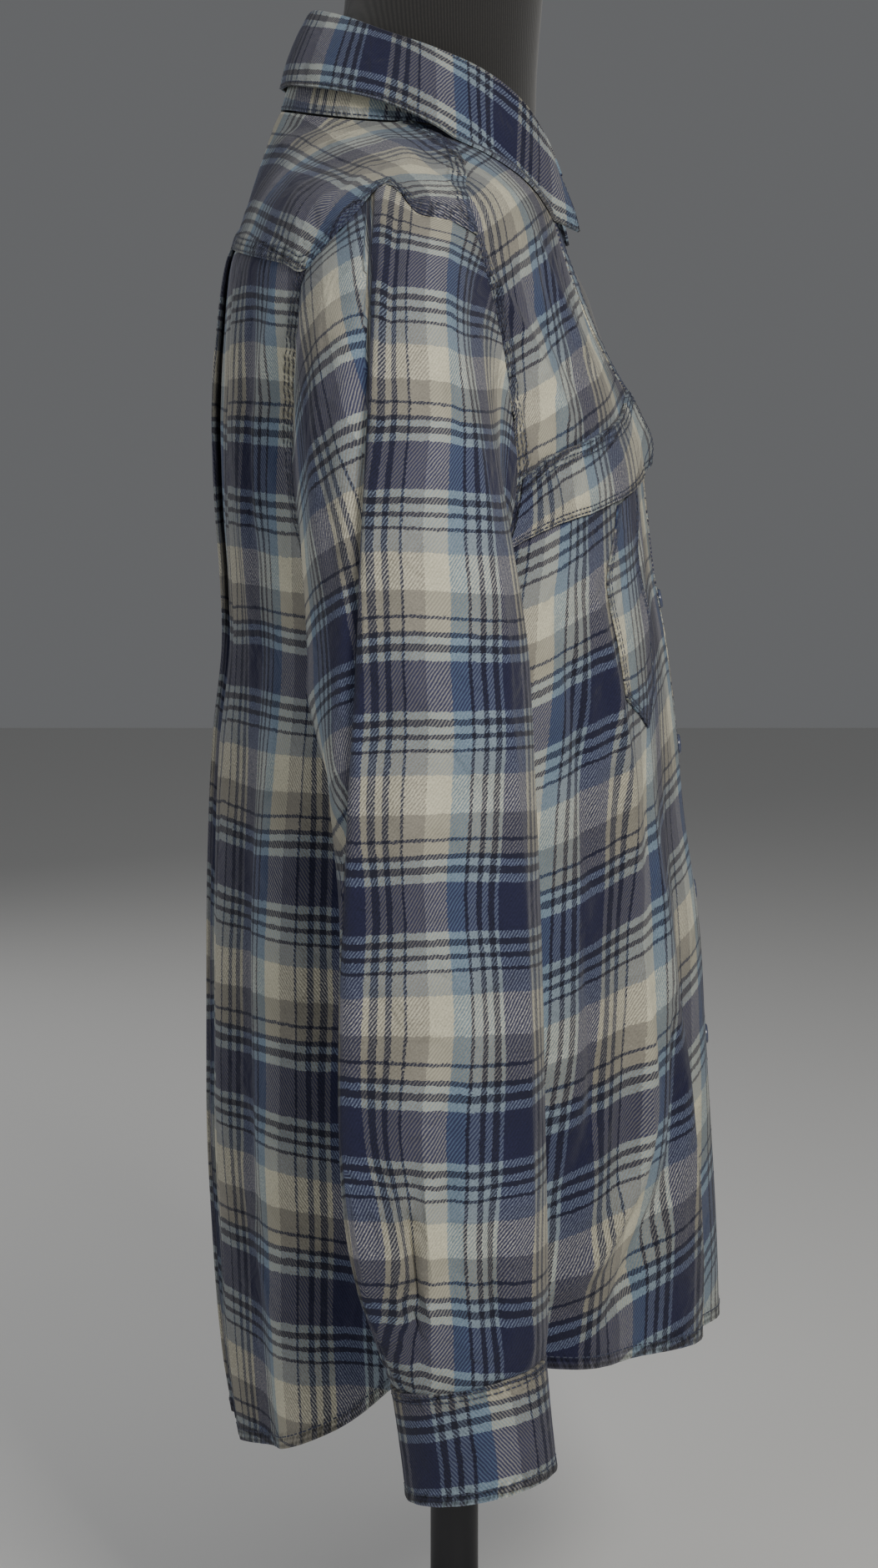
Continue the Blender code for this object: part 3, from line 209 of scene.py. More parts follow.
# the neck's top edge is rolled, not cut square
in_roll = form_levels > ROLL_START
climb = np.clip(1 - ((form_levels - ROLL_START) / ROLL_HEIGHT) ** 2, 0, 1)
roll = np.where(in_roll, ROLL_DEPTH * (1 - np.sqrt(climb)), 0.0)
a = np.where(in_roll, 56.5 - roll, a)
front = np.where(in_roll, -53.2 + roll, front)
back = np.where(in_roll, 62.5 - roll, back)
turn = 2 * np.pi * np.arange(FORM_SIDES) / FORM_SIDES - np.pi / 2
co = np.cos(turn)[None, :]
si = np.sin(turn)[None, :]
power = (2 / n)[:, None]
form_x = a[:, None] * np.sign(co) * np.abs(co) ** power
form_y = ((front + back) / 2)[:, None] + ((back - front) / 2)[:, None] * np.sign(si) * np.abs(si) ** power
form_y = form_y - np.where(si < 0, bulge[:, None] * bell(form_x, 0, BREAST_WIDTH), 0.0)
form_rings = np.stack([form_x, form_y, form_levels[:, None] + 0 * form_x], axis=-1)


def ring_faces(levels, sides):
    """Quads between level rings listed from the bottom up, and fans over both ends."""
    i, j = np.meshgrid(np.arange(levels - 1), np.arange(sides), indexing="ij")
    here = i * sides + j
    beside = i * sides + (j + 1) % sides
    faces = np.stack([here, beside, beside + sides, here + sides], axis=-1).reshape(-1, 4).tolist()
    low = levels * sides
    for j in range(sides):
        faces.append([(j + 1) % sides, j, low])
        faces.append([(levels - 1) * sides + j, (levels - 1) * sides + (j + 1) % sides, low + 1])
    return faces


form_points = np.concatenate([form_rings.reshape(-1, 3), [[0.0, 8.0, 288.0], [0.0, 4.5, 1003.0]]])
form_grain = np.stack([form_points[:, 1] * 0.9 + np.abs(form_points[:, 0]) * 0.55, form_points[:, 2]], axis=1)
torso = add_piece("dress_form_torso", form_points, ring_faces(len(form_levels), FORM_SIDES), jersey,
                  form_grain)
belongs(torso, "dress_form")

# ================================================================ stand
# A short steel tube with a flange under the torso and a flat round foot, turned and welded, then
# powder coated satin black.
# powder coat over steel: an even satin skin with fine orange peel
powder_coat, tree, shader = new_material("black_powder_coated_steel")
place = add_node(tree, "ShaderNodeTexCoord").outputs["Object"]
# the peel's 0.4 mm dimples are drawn 1 mm across to show
peel = noise(tree, place, 900.0, 2.0)
smudge = noise(tree, place, 22.0, 4.0)
tree.links.new(two_tones(tree, smudge.outputs["Fac"], "161618", "26262a"), shader.inputs["Base Color"])
satin = add_node(tree, "ShaderNodeMapRange", {"Value": smudge.outputs["Fac"], "To Min": 0.36, "To Max": 0.52})
tree.links.new(satin.outputs[0], shader.inputs["Roughness"])
tree.links.new(bump(tree, peel.outputs["Fac"], 0.12, 0.0003), shader.inputs["Normal"])


def level_circle(sides, radius, height, x=0.0, y=0.0):
    """Points of a level circle."""
    turns = [2 * math.pi * k / sides for k in range(sides)]
    return [(x + radius * math.cos(t), y + radius * math.sin(t), height) for t in turns]


def turned(name, profile, sides, node):
    """A closed turned piece on the stand's axis from radii and heights listed bottom up."""
    points = [spot for r, z in profile for spot in level_circle(sides, r, z)]
    points += [(0.0, 0.0, profile[0][1]), (0.0, 0.0, profile[-1][1])]
    piece = add_piece(name, points, ring_faces(len(profile), sides), powder_coat, sharp=35.0)
    belongs(piece, node)


turned("stand_foot", [(136.8, 0), (137.6, 0.3), (138, 1), (138, 4.6), (137.7, 5.3), (137.1, 5.8), (136.2, 6)],
       128, "stand_base")
# the tube is flared into its foot flange and its head flange
turned("stand_tube", [(25.6, 6), (26, 6.6), (26, 9.4), (25.4, 10), (19, 11.2), (15.8, 13.5), (14.3, 17.5),
                      (14, 21), (14, 265), (14.4, 271), (16.2, 275.5), (20, 278.4), (31.3, 279.8),
                      (32, 280.6), (32, 287.4), (31.4, 288)], 64, "stand_pole")

# ================================================================ yoke
# One layer of brushed plaid cotton over both shoulders, cut as one piece and sewn down on the
# fronts and the back with three rows of dark thread on each seam.
SHIRT = [  # height, half width, front y, back y, roundness
    (914, 64, -44, 97.5, 2), (908, 69, -45, 101.5, 2), (900, 75, -46.5, 105.5, 1.95),
    (895.5, 80, -47.5, 107, 1.9), (888, 101, -49, 109.5, 1.9), (879, 126, -51, 112.5, 1.9),
    (869.5, 151, -53.5, 115.5, 1.9), (861, 176, -56, 118, 1.92), (853.5, 195, -58.5, 120, 1.96),
    (846, 206, -61, 122.5, 2), (838, 210.5, -63, 124.5, 2.05), (825, 212, -66.5, 128, 2.1),
    (813, 212, -70.5, 130.5, 2.1), (800, 211.5, -75, 132, 2.1), (779, 210.5, -83, 133.5, 2.1),
    (755, 210, -94, 135, 2.1), (740, 209.5, -100.5, 135.5, 2.1), (730, 209, -103, 135.7, 2.15),
    (700, 208, -106, 135, 2.2), (671, 208, -109, 133.5, 2.25), (640, 208.5, -112.5, 131, 2.3),
    (603, 210, -119, 129.5, 2.3), (544, 212, -126, 135, 2.3), (505, 213, -129, 137, 2.3),
    (431, 215, -138, 138.5, 2.3), (340, 217, -144, 138.5, 2.3), (240, 219, -149, 134, 2.3),
    (190, 220, -150, 129.5, 2.3), (140, 220, -150.5, 121, 2.3),
]
# armhole of the right side seen from the side: y, height
ARMHOLE_TOP = [(-10, 826), (4, 833.5), (20.5, 837), (30, 848),
               (40, 851.2), (57, 832.5), (79, 808.5)]
ARMHOLE_BACK = [(83.5, 782), (86.5, 755), (88, 728), (87, 702),
                (82, 677), (71, 652), (54, 630), (34, 614)]
ARMHOLE_FRONT = [(-14, 812), (-18.5, 796), (-22.5, 779), (-26, 760), (-29, 740),
                 (-31, 719), (-32, 695), (-24, 661), (1, 634), (34, 614)]
# seam lines seen from above: sideways distance from the centre, y
NECK_BACK = 908.0        # height of the neck seam at the centre of the back
NECK_FRONT = [(80, 22), (82, 4), (84, -15), (85, -34)]
YOKE_FRONT = [(80, 22), (103, 6.5), (130, -3.5), (157, -5.5), (181, -5)]
CENTRE_SEAM = 829.5
CLOTH = 1.1              # one layer of brushed flannel
FINE = 6                 # steps of the fine cloth to one of the seam tables
MIRROR = np.array([-1.0, 1.0, 1.0])


def unit(ways):
    """Directions of length one."""
    return ways / np.linalg.norm(ways, axis=-1, keepdims=True)


def run_along(points):
    """Length from the first point of a line, or from the first row of a grid."""
    steps = np.linalg.norm(np.diff(points, axis=0), axis=-1)
    return np.concatenate([np.zeros((1,) + steps.shape[1:]), np.cumsum(steps, axis=0)])


def waves(run, *parts):
    """Sum of waves along a run, each with its height, its length and its start."""
    return sum(height * np.sin(run / length + start) for height, length, start in parts)


def body_section(z):
    """Half width, middle y, half depth and roundness of the shirt's body at a height."""
    a, front, back, n = smooth_columns(SHIRT, z)
    return a, (front + back) / 2, (back - front) / 2, n


def on_body(angle, z):
    """Point of the right half of the shirt's body: sideways distance, y and height."""
    a, c, b, n = body_section(z)
    co = np.cos(angle)
    si = np.sin(angle)
    return np.stack([-a * np.sign(co) * np.abs(co) ** (2 / n), c + b * np.sign(si) * np.abs(si) ** (2 / n),
                     np.asarray(z, dtype=float) + 0 * co], axis=-1)


def angle_from_y(y, z):
    """Angle round the right half of the body at a y and a height."""
    _, c, b, n = body_section(z)
    s = np.clip((np.asarray(y) - c) / b, -1, 1)
    return np.arcsin(np.sign(s) * np.abs(s) ** (n / 2))


def plan_curve(points):
    """Angles and heights of seam points given as seen from above."""
    out = []
    for o, y in points:
        low = 700.0
        high = 913.0
        for _ in range(40):
            z = (low + high) / 2
            a, c, b, n = body_section(z)
            if (abs(o) / a) ** n + abs((y - c) / b) ** n < 1:
                low = z
            else:
                high = z
        out.append((float(angle_from_y(y, z)), z))
    return np.array(out)


def side_curve(points):
    """Angles and heights of seam points given as seen from the side."""
    return np.array([(float(angle_from_y(y, z)), z) for y, z in points])


def resample(points, count):
    """Evenly spaced points along a smooth curve through the given ones."""
    points = np.asarray(points, dtype=float)
    run = run_along(on_body(points[:, 0], points[:, 1]))
    table = [(r, p[0], p[1]) for r, p in zip(run, points)]
    return np.array(smooth_columns(table, np.linspace(0, run[-1], count))).T


def fill_patch(top, bottom, left, right):
    """Angles and heights inside four joined edges; rows run from top to bottom."""
    v = np.linspace(0, 1, len(left))[:, None, None]
    u = np.linspace(0, 1, len(top))[None, :, None]
    return ((1 - v) * top[None] + v * bottom[None] + (1 - u) * left[:, None] + u * right[:, None]
            - (1 - u) * (1 - v) * top[0] - u * (1 - v) * top[-1]
            - (1 - u) * v * bottom[0] - u * v * bottom[-1])


def refine(grid, down, across, closed=False):
    """A smooth grid through a coarse one, with so many steps to each of its own."""
    for axis, times in ((0, down), (1, across)):
        g = np.moveaxis(np.asarray(grid, dtype=float), axis, 0)
        if axis == 1 and closed:
            padded = np.concatenate([g[-1:], g, g[:2]])
        else:
            padded = np.concatenate([2 * g[:1] - g[1:2], g, 2 * g[-1:] - g[-2:-1]])
        p0, p1, p2, p3 = padded[:-3], padded[1:-2], padded[2:-1], padded[3:]
        rows = []
        for k in range(times):
            t = k / times
            rows.append(0.5 * (2 * p1 + (p2 - p0) * t + (2 * p0 - 5 * p1 + 4 * p2 - p3) * t * t
                               + (3 * p1 - p0 - 3 * p2 + p3) * t ** 3))
        fine = np.stack(rows, axis=1).reshape((-1,) + g.shape[1:])
        if not (axis == 1 and closed):
            fine = np.concatenate([fine, g[-1:]])
        grid = np.moveaxis(fine, 0, axis)
    return grid


def grid_normals(points, closed=False):
    """Vertex normals of a grid of points."""
    along = np.gradient(points, axis=0)
    if closed:
        across = np.roll(points, -1, axis=1) - np.roll(points, 1, axis=1)
    else:
        across = np.gradient(points, axis=1)
    normal = np.cross(along, across)
    return normal / np.maximum(np.linalg.norm(normal, axis=2, keepdims=True), 1e-9)


def outward_normals(points):
    """Vertex normals of a grid on the body, turned away from the body's middle."""
    normal = grid_normals(points)
    return normal if np.sum(normal[..., :2] * (points[..., :2] - np.array([0.0, 20.0]))) > 0 else -normal


def raised(points, relief):
    """Cloth on the body moved out by its relief."""
    return points + outward_normals(points) * relief[..., None]


def hull_depth(points, table):
    """How far points lie outside the hull of a table of levels, and the way out of it."""
    def level(p):
        columns = smooth_columns(table, p[..., 2])
        a, front, back, n = columns[:4]
        c = (front + back) / 2
        b = (back - front) / 2
        if len(columns) > 4:
            b = b + np.where(p[..., 1] < c, columns[4] * bell(p[..., 0], 0, BREAST_WIDTH), 0.0)
        return (np.abs(p[..., 0] / a) ** n + np.abs((p[..., 1] - c) / b) ** n) ** (1 / n) - 1
    slope = np.zeros_like(points)
    for k in range(3):
        step = np.zeros(3)
        step[k] = 0.5
        slope[..., k] = level(points + step) - level(points - step)
    size = np.maximum(np.linalg.norm(slope, axis=-1, keepdims=True), 1e-9)
    return level(points) / size[..., 0], slope / size


def push_clear(points, table, gap):
    """Cloth points moved out until they clear a hull by the gap."""
    points = points.copy()
    for _ in range(3):
        depth, way = hull_depth(points, table)
        points += way * np.clip(gap - depth, 0.0, 20.0)[..., None]
    return points


def crease_rise(where, creases):
    """Rises and troughs pressed into cloth along listed lines of points.

    Each crease is its points, its rise in millimetres and its half width.
    """
    total = np.zeros(where.shape[:-1])
    for line, rise, width in creases:
        line = np.array(line, dtype=float)
        line = refine(line[:, None, :], 6, 1)[:, 0] if len(line) > 2 else np.linspace(line[0], line[1], 7)
        step = line[1:] - line[:-1]
        length = np.linalg.norm(step, axis=1)
        run = np.concatenate([[0], np.cumsum(length)])
        nearest = np.full(total.shape, 1e9)
        along = np.zeros(total.shape)
        for k in range(len(step)):
            t = np.clip(np.sum((where - line[k]) * step[k], axis=-1) / length[k] ** 2, 0, 1)
            d = np.linalg.norm(where - line[k] - t[..., None] * step[k], axis=-1)
            closer = d < nearest
            nearest = np.where(closer, d, nearest)
            along = np.where(closer, (run[k] + t * length[k]) / run[-1], along)
        taper = np.sin(np.pi * np.clip(along, 0.02, 0.98)) ** 0.6
        total += rise * taper * bell(nearest, 0, width * (0.55 + 0.45 * taper))
    return total


def edge_first(grid, side):
    """A grid turned so that its rows run in from one edge."""
    if side in ("left", "right"):
        grid = grid.swapaxes(0, 1)
    return grid[::-1] if side in ("bottom", "right") else grid


def away_from(points, side):
    """How far each point of a grid lies from one edge, and its run along that edge."""
    rows = edge_first(points, side)
    away = run_along(rows)
    run = np.broadcast_to(run_along(rows[0])[None], away.shape)
    if side in ("bottom", "right"):
        away, run = away[::-1], run[::-1]
    return (away.T, run.T) if side in ("left", "right") else (away, run)


def seam_relief(points, side, start):
    """Seam allowance under three rows of sewing, with the small puckers that the thread draws."""
    away, run = away_from(points, side)
    puckers = waves(run, (1, 1.55, start), (0.7, 2.3, 2.1 * start), (0.5, 0.97, 0.7 * start),
                    (0.6, 5.1, start))
    layers = 0.6 * (1 - ease((away - 9.0) / 2.6)) - 0.42 * bell(away, 0, 0.9)
    return layers + 0.5 * puckers * bell(away, 5.0, 6.5)


def lay_flat(points, guess):
    """Flat cloth coordinates of a coarse grid: a guess drawn to the grid's own lengths."""
    flat = guess.astype(float).copy()
    whole, first, second = slice(None), slice(None, -1), slice(1, None)
    pairs = [((first, whole), (second, whole)), ((whole, first), (whole, second)),
             ((first, first), (second, second)), ((first, second), (second, first))]
    rest = [np.linalg.norm(points[b] - points[a], axis=-1) for a, b in pairs]
    for _ in range(500):
        move = np.zeros_like(flat)
        count = np.zeros(flat.shape[:2])
        for (a, b), length in zip(pairs, rest):
            way = flat[b] - flat[a]
            now = np.maximum(np.linalg.norm(way, axis=-1), 1e-6)
            shift = way * (0.5 * (now - length) / now)[..., None]
            move[a] += shift
            move[b] -= shift
            count[a] += 1
            count[b] += 1
        flat += 1.6 * move / count[..., None]
    return flat


def nearest_seam(grid, edges):
    """Run along and distance from the nearest sewn edge, and 1 where its rows of sewing lie."""
    run = np.zeros(grid.shape[:2])
    away = np.full(grid.shape[:2], 99.0)
    sewn = np.zeros(grid.shape[:2])
    for edge, width in edges.items():
        edge_away, edge_run = away_from(grid, edge)
        closer = edge_away < away
        run = np.where(closer, edge_run, run)
        sewn = np.where(closer, 1 - ease((edge_away - width) / 2.6), sewn)
        away = np.where(closer, edge_away, away)
    return {"seam_run": run, "seam_away": away, "seam_sewn": sewn}


def cloth_wall(name, node, grid, thickness, grain, closed=False, worn=None, seams=None):
    """A grid of points as a closed wall of flannel, half its thickness to either side."""
    normal = grid_normals(grid, closed)
    rows, cols = grid.shape[:2]
    half = (np.broadcast_to(thickness, (rows, cols)) / 2)[..., None]
    points = np.concatenate([(grid + normal * half).reshape(-1, 3), (grid - normal * half).reshape(-1, 3)])
    wide = grain.shape[1]
    faces = []
    maps = []

    def quads(*corners):
        """Quads with corners by row, column and face of the wall, and their places in the grain."""
        faces.append(np.stack([r * cols + c % cols + face * rows * cols for r, c, face in corners], axis=1))
        maps.append(np.stack([r * wide + c for r, c, _ in corners], axis=1))

    r, c = np.meshgrid(np.arange(rows - 1), np.arange(cols if closed else cols - 1), indexing="ij")
    r, c = r.ravel(), c.ravel()
    quads((r, c, 0), (r + 1, c, 0), (r + 1, c + 1, 0), (r, c + 1, 0))
    quads((r, c + 1, 1), (r + 1, c + 1, 1), (r + 1, c, 1), (r, c, 1))
    r, c = rows - 1, np.arange(cols if closed else cols - 1)
    quads((0, c, 0), (0, c + 1, 0), (0, c + 1, 1), (0, c, 1))
    quads((r, c + 1, 0), (r, c, 0), (r, c, 1), (r, c + 1, 1))
    if not closed:
        r, c = np.arange(rows - 1), cols - 1
        quads((r + 1, 0, 0), (r, 0, 0), (r, 0, 1), (r + 1, 0, 1))
        quads((r, c, 0), (r + 1, c, 0), (r + 1, c, 1), (r, c, 1))
    marks = nearest_seam(grid, seams or {})
    marks["worn"] = np.zeros((rows, cols)) if worn is None else worn
    marks = {key: np.concatenate([value.ravel(), value.ravel()]) for key, value in marks.items()}
    piece = add_piece(name, points, np.concatenate(faces), flannel, grain.reshape(-1, 2),
                      np.concatenate(maps), marks)
    belongs(piece, node)
    return piece


def mirror(points):
    """The wearer's left copy of a right-hand grid, with its columns turned round."""
    return points[:, ::-1] * MIRROR


def mirror_grain(grain):
    """Flat cloth coordinates of the wearer's left copy."""
    return grain[:, ::-1] * np.array([-1.0, 1.0])


def on_side(side, points, grain):
    """A right-hand grid and its flat coordinates, or their left copies."""
    return (points, grain) if side == "right" else (mirror(points), mirror_grain(grain))


# brushed plaid cotton: a 2/2 twill of dyed yarns, raised on the face, so its stripes cross in
# half tones, the nap blurs them and nothing on it shines
flannel, tree, shader = new_material("brushed_plaid_cotton_flannel")
NAVY, LIGHT, DARK, TAUPE = "181a38", "778590", "151728", "8b867b"
CREAM, BLUE, SMOKE, SAND = "c4bfa8", "677f94", "7b8389", "7e7a6f"
WARP_REPEAT = 90.3       # mm across one repeat, left to right seen from outside
WARP = [(19.1, NAVY), (3.2, SAND), (4.2, DARK), (3.5, SAND), (3.4, DARK), (5.6, SAND), (1.5, DARK),
        (10, TAUPE), (12, CREAM), (9.3, BLUE), (1.6, DARK), (4.8, LIGHT), (2.8, DARK), (3.6, LIGHT),
        (3.3, DARK), (2.4, LIGHT)]
WEFT_REPEAT = 110.4      # mm up one repeat, listed from the top down
WEFT = [(24.5, NAVY), (3.6, LIGHT), (3.6, DARK), (3.6, LIGHT), (2.6, DARK), (5, LIGHT), (1.7, DARK),
        (11, SMOKE), (19, CREAM), (12.4, SAND), (1.5, DARK), (6.4, SAND), (2.6, DARK), (3.6, LIGHT),
        (3.6, DARK), (4.1, LIGHT)]
cloth_map = add_node(tree, "ShaderNodeUVMap", uv_map="grain").outputs[0]


def stray(start, texture, reach):
    """A place moved by a noise texture, up to half the reach to either side."""
    centred = add_node(tree, "ShaderNodeVectorMath", {0: texture.outputs["Color"], 1: (0.5, 0.5, 0.5)},
                       operation="SUBTRACT")
    moved = add_node(tree, "ShaderNodeVectorMath", {0: centred.outputs[0], 1: (reach, reach, 0.0), 2: start},
                     operation="MULTIPLY_ADD")
    return moved.outputs[0]


# the yarns wander a little, and the wash has drawn the whole cloth by some millimetres
wandered = stray(cloth_map, noise(tree, cloth_map, 0.16, 3.0), 1.1)
drawn = stray(wandered, noise(tree, cloth_map, 0.011, 0.5), 13.0)
# raised fibres blur each stripe's edge by half a millimetre
fibres = noise(tree, cloth_map, 0.85, 4.0, 0.65)
fuzz = fibres.outputs["Fac"]
blurred_at = add_node(tree, "ShaderNodeSeparateXYZ", {0: stray(drawn, fibres, 3.0)})
yarns = []
for stripes, repeat, axis in ((WARP, WARP_REPEAT, 0), (WEFT[::-1], WEFT_REPEAT, 1)):
    part = calc(tree, "FRACT", calc(tree, "MULTIPLY", blurred_at.outputs[axis], 1 / repeat))
    chart = add_node(tree, "ShaderNodeValToRGB", {0: part})
    chart.color_ramp.interpolation = "CONSTANT"
    stops = chart.color_ramp.elements
    total = sum(width for width, _ in stripes)
    at = 0.0
    for k, (width, code) in enumerate(stripes):
        stop = stops[k] if k < 2 else stops.new(at / total)
        stop.position = at / total
        stop.color = linear(code)
        at += width
    yarns.append(chart.outputs[0])
# the twill's 0.7 mm steps are drawn 1.8 mm wide to show
TWILL_ACROSS, TWILL_UP = 1.8, 2.6
twill_at = add_node(tree, "ShaderNodeSeparateXYZ", {0: drawn})
twill_x = calc(tree, "MULTIPLY", twill_at.outputs[0], 2 * math.pi / TWILL_ACROSS)
twill = calc(tree, "SINE", calc(tree, "MULTIPLY_ADD", twill_at.outputs[1], -2 * math.pi / TWILL_UP, twill_x))
upper = calc(tree, "MULTIPLY_ADD", twill, 0.27, calc(tree, "MULTIPLY_ADD", fuzz, 0.8, 0.11), use_clamp=True)
# the eye reads crossed yarns as darker than their plain mean, so they are mixed on a bent scale
BEND = 6.0
bent = [add_node(tree, "ShaderNodeGamma", {"Color": yarn, "Gamma": 1 / BEND}).outputs[0] for yarn in yarns]
crossed_bent = add_node(tree, "ShaderNodeMix", {0: upper, 6: bent[0], 7: bent[1]}, data_type="RGBA")
crossed = add_node(tree, "ShaderNodeGamma", {"Color": crossed_bent.outputs[2], "Gamma": BEND})
# raised fibres lie over the weave and grey it, most where an edge is worn
worn_at, seam_run, seam_away, seam_sewn = [
    add_node(tree, "ShaderNodeAttribute", attribute_name=name).outputs["Fac"]
    for name in ("worn", "seam_run", "seam_away", "seam_sewn")]
nap_share = calc(tree, "MULTIPLY_ADD", worn_at, 0.16, 0.03)
napped = add_node(tree, "ShaderNodeMix", {0: nap_share, 6: crossed.outputs[0], 7: linear("8f8d87")},
                  data_type="RGBA")
# along sewn edges the thread draws the cloth into small ropes; their light and shade is painted into the
# colour, a painted highlight on each rope's top and painted shade in the grooves between the ropes and the
# rows
rope_at = add_node(tree, "ShaderNodeCombineXYZ", {0: calc(tree, "MULTIPLY_ADD", seam_away, 0.45, seam_run),
                                                  1: calc(tree, "MULTIPLY", seam_away, 0.16)})
rope = noise(tree, rope_at.outputs[0], 0.34, 3.0, 0.6)


def spread(value, low, high, to_low, to_high):
    """A value moved from one range into another."""
    return add_node(tree, "ShaderNodeMapRange", {"Value": value, "From Min": low, "From Max": high,
                                                 "To Min": to_low, "To Max": to_high}).outputs[0]


ROW_PITCH = 3.2          # from one row of sewing to the next
row_groove = calc(tree, "COSINE", calc(tree, "MULTIPLY_ADD", seam_away, 2 * math.pi / ROW_PITCH, -math.pi))
seam_height = calc(tree, "MULTIPLY_ADD", row_groove, -0.22, spread(rope.outputs["Fac"], 0.32, 0.68, 0.0, 1.0))
# painted highlight on the ropes' tops and painted shade in the grooves, multiplied into the cloth's colour
# where the rows of sewing lie
rope_light_and_shade = spread(seam_height, -0.1, 1.0, 0.26, 1.25)
seam_painted_light_and_shade = add_node(tree, "ShaderNodeMix", {0: seam_sewn, 2: 1.0, 3: rope_light_and_shade}, data_type="FLOAT")
# wash patches, the fibres' own light and dark, and shade in the valleys between the twill's ridges
wash_tone = spread(noise(tree, cloth_map, 0.028, 3.0).outputs["Fac"], 0.3, 0.7, 0.93, 1.07)
fibre_tone = spread(fuzz, 0.3, 0.7, 0.76, 1.18)
woven_tone = calc(tree, "MULTIPLY", fibre_tone, calc(tree, "MULTIPLY_ADD", twill, 0.09, 0.98))
# the seams' painted highlight and painted shade are multiplied in here with the wash and fibre tones
tone = calc(tree, "MULTIPLY", calc(tree, "MULTIPLY", wash_tone, woven_tone), seam_painted_light_and_shade.outputs[0])
toned = add_node(tree, "ShaderNodeVectorMath", {0: napped.outputs[2], 1: tone}, operation="MULTIPLY")
tree.links.new(toned.outputs[0], shader.inputs["Base Color"])
shader.inputs["Roughness"].default_value = 0.93
shader.inputs["Specular IOR Level"].default_value = 0.16
shader.inputs["Sheen Weight"].default_value = 0.08
shader.inputs["Sheen Roughness"].default_value = 0.55
# a washed shirt is never ironed flat: soft rumples a finger wide lie over the folds
rumple = noise(tree, cloth_map, 0.045, 2.5, distortion=0.6)
rumple_bump = bump(tree, rumple.outputs["Fac"], 0.8, 0.006)
seam_bump = bump(tree, calc(tree, "MULTIPLY", seam_height, seam_sewn), 0.8, 0.0012, rumple_bump)
nap_bump = bump(tree, calc(tree, "MULTIPLY_ADD", twill, 0.22, fuzz), 0.5, 0.0006, seam_bump)
tree.links.new(nap_bump, shader.inputs["Normal"])

# spun polyester thread, dyed dark indigo: a dull twisted strand with a faint highlight
thread, tree, shader = new_material("indigo_spun_thread")
place = add_node(tree, "ShaderNodeTexCoord").outputs["Object"]
twist = noise(tree, place, 1800.0, 2.0)
tree.links.new(two_tones(tree, twist.outputs["Fac"], "1b1e2c", "3c4258"), shader.inputs["Base Color"])
shader.inputs["Roughness"].default_value = 0.62

# seam lines of the body, as angle and height
armhole_top = side_curve(ARMHOLE_TOP)
armhole_back = side_curve([ARMHOLE_TOP[-1]] + ARMHOLE_BACK)
armhole_front = side_curve([ARMHOLE_TOP[0]] + ARMHOLE_FRONT)
armhole_back[0] = armhole_top[-1]
armhole_front[0] = armhole_top[0]
neck_front = plan_curve(NECK_FRONT)
yoke_front = resample(np.concatenate([plan_curve(YOKE_FRONT), armhole_top[:1]]), 10)
half_turn = math.pi / 2
yoke_back = np.array([(armhole_top[-1][0] + (half_turn - armhole_top[-1][0]) * t,
                       armhole_top[-1][1] + (CENTRE_SEAM - armhole_top[-1][1]) * t ** 0.85)
                      for t in np.linspace(0, 1, 9)])
outer_edge = np.concatenate([armhole_top, yoke_back[1:]])
neck_back = resample(np.array([(neck_front[0][0] + (half_turn - neck_front[0][0]) * t,
                                neck_front[0][1] + (NECK_BACK - neck_front[0][1]) * ease(t))
                               for t in np.linspace(0, 1, 9)]), len(outer_edge))
centre_edge = np.array([(half_turn, NECK_BACK + (CENTRE_SEAM - NECK_BACK) * t)
                        for t in np.linspace(0, 1, 10)])
yoke_patch = fill_patch(neck_back, outer_edge, yoke_front, centre_edge)
yoke_fine = refine(yoke_patch, FINE, FINE)
yoke_mid = push_clear(on_body(yoke_fine[..., 0], yoke_fine[..., 1]), FORM, 1.5)
# soft hollows between the shoulder point and the neck, and drag lines to the armhole
YOKE_CREASES = [
    ([(-182, 88), (-150, 84), (-112, 90)], 1.6, 6),
    ([(-196, 66), (-168, 58), (-128, 66)], -1.8, 7),
    ([(-188, 30), (-160, 26), (-120, 34), (-98, 44)], 2, 8),
    ([(-178, 10), (-150, 12), (-112, 18)], -1.5, 6),
    ([(-92, 62), (-72, 88), (-40, 104)], 1.4, 6),
    ([(-100, 48), (-86, 78), (-60, 102)], -1.4, 6),
]
yoke_relief = (crease_rise(yoke_mid[..., :2], YOKE_CREASES)
               + seam_relief(yoke_mid, "bottom", 0.4) + 0.8 * bell(away_from(yoke_mid, "bottom")[0], 0, 9.0)
               + seam_relief(yoke_mid, "left", 1.9) + 0.5 * bell(away_from(yoke_mid, "left")[0], 0, 9.0))
yoke_right = raised(yoke_mid, yoke_relief)
coarse = yoke_mid[::FINE, ::FINE]
yoke_flat = lay_flat(coarse, np.stack([-coarse[..., 0] * 1.05, -1.1 * coarse[..., 1] + 0.7 * coarse[..., 2]],
                                      axis=-1))
# the yoke is cut with its warp along the centre of the back
upright = unit(yoke_flat[0, -1] - yoke_flat[-1, -1])
yoke_flat = (yoke_flat - yoke_flat[-1, -1]) @ np.array([[upright[1], upright[0]], [-upright[0], upright[1]]])
yoke_flat = refine(yoke_flat, FINE, FINE)
yoke_grid = np.concatenate([yoke_right, mirror(yoke_right)[:, 1:]], axis=1)
yoke_grain = np.concatenate([yoke_flat, mirror_grain(yoke_flat)[:, 1:]], axis=1) + np.array([41.0, 62.0])
TRIPLE_SEAM = 8.6        # width of a seam with three rows of sewing
yoke = cloth_wall("yoke_flannel", "yoke", yoke_grid, CLOTH, yoke_grain,
                  seams={"bottom": TRIPLE_SEAM, "left": TRIPLE_SEAM, "right": TRIPLE_SEAM})


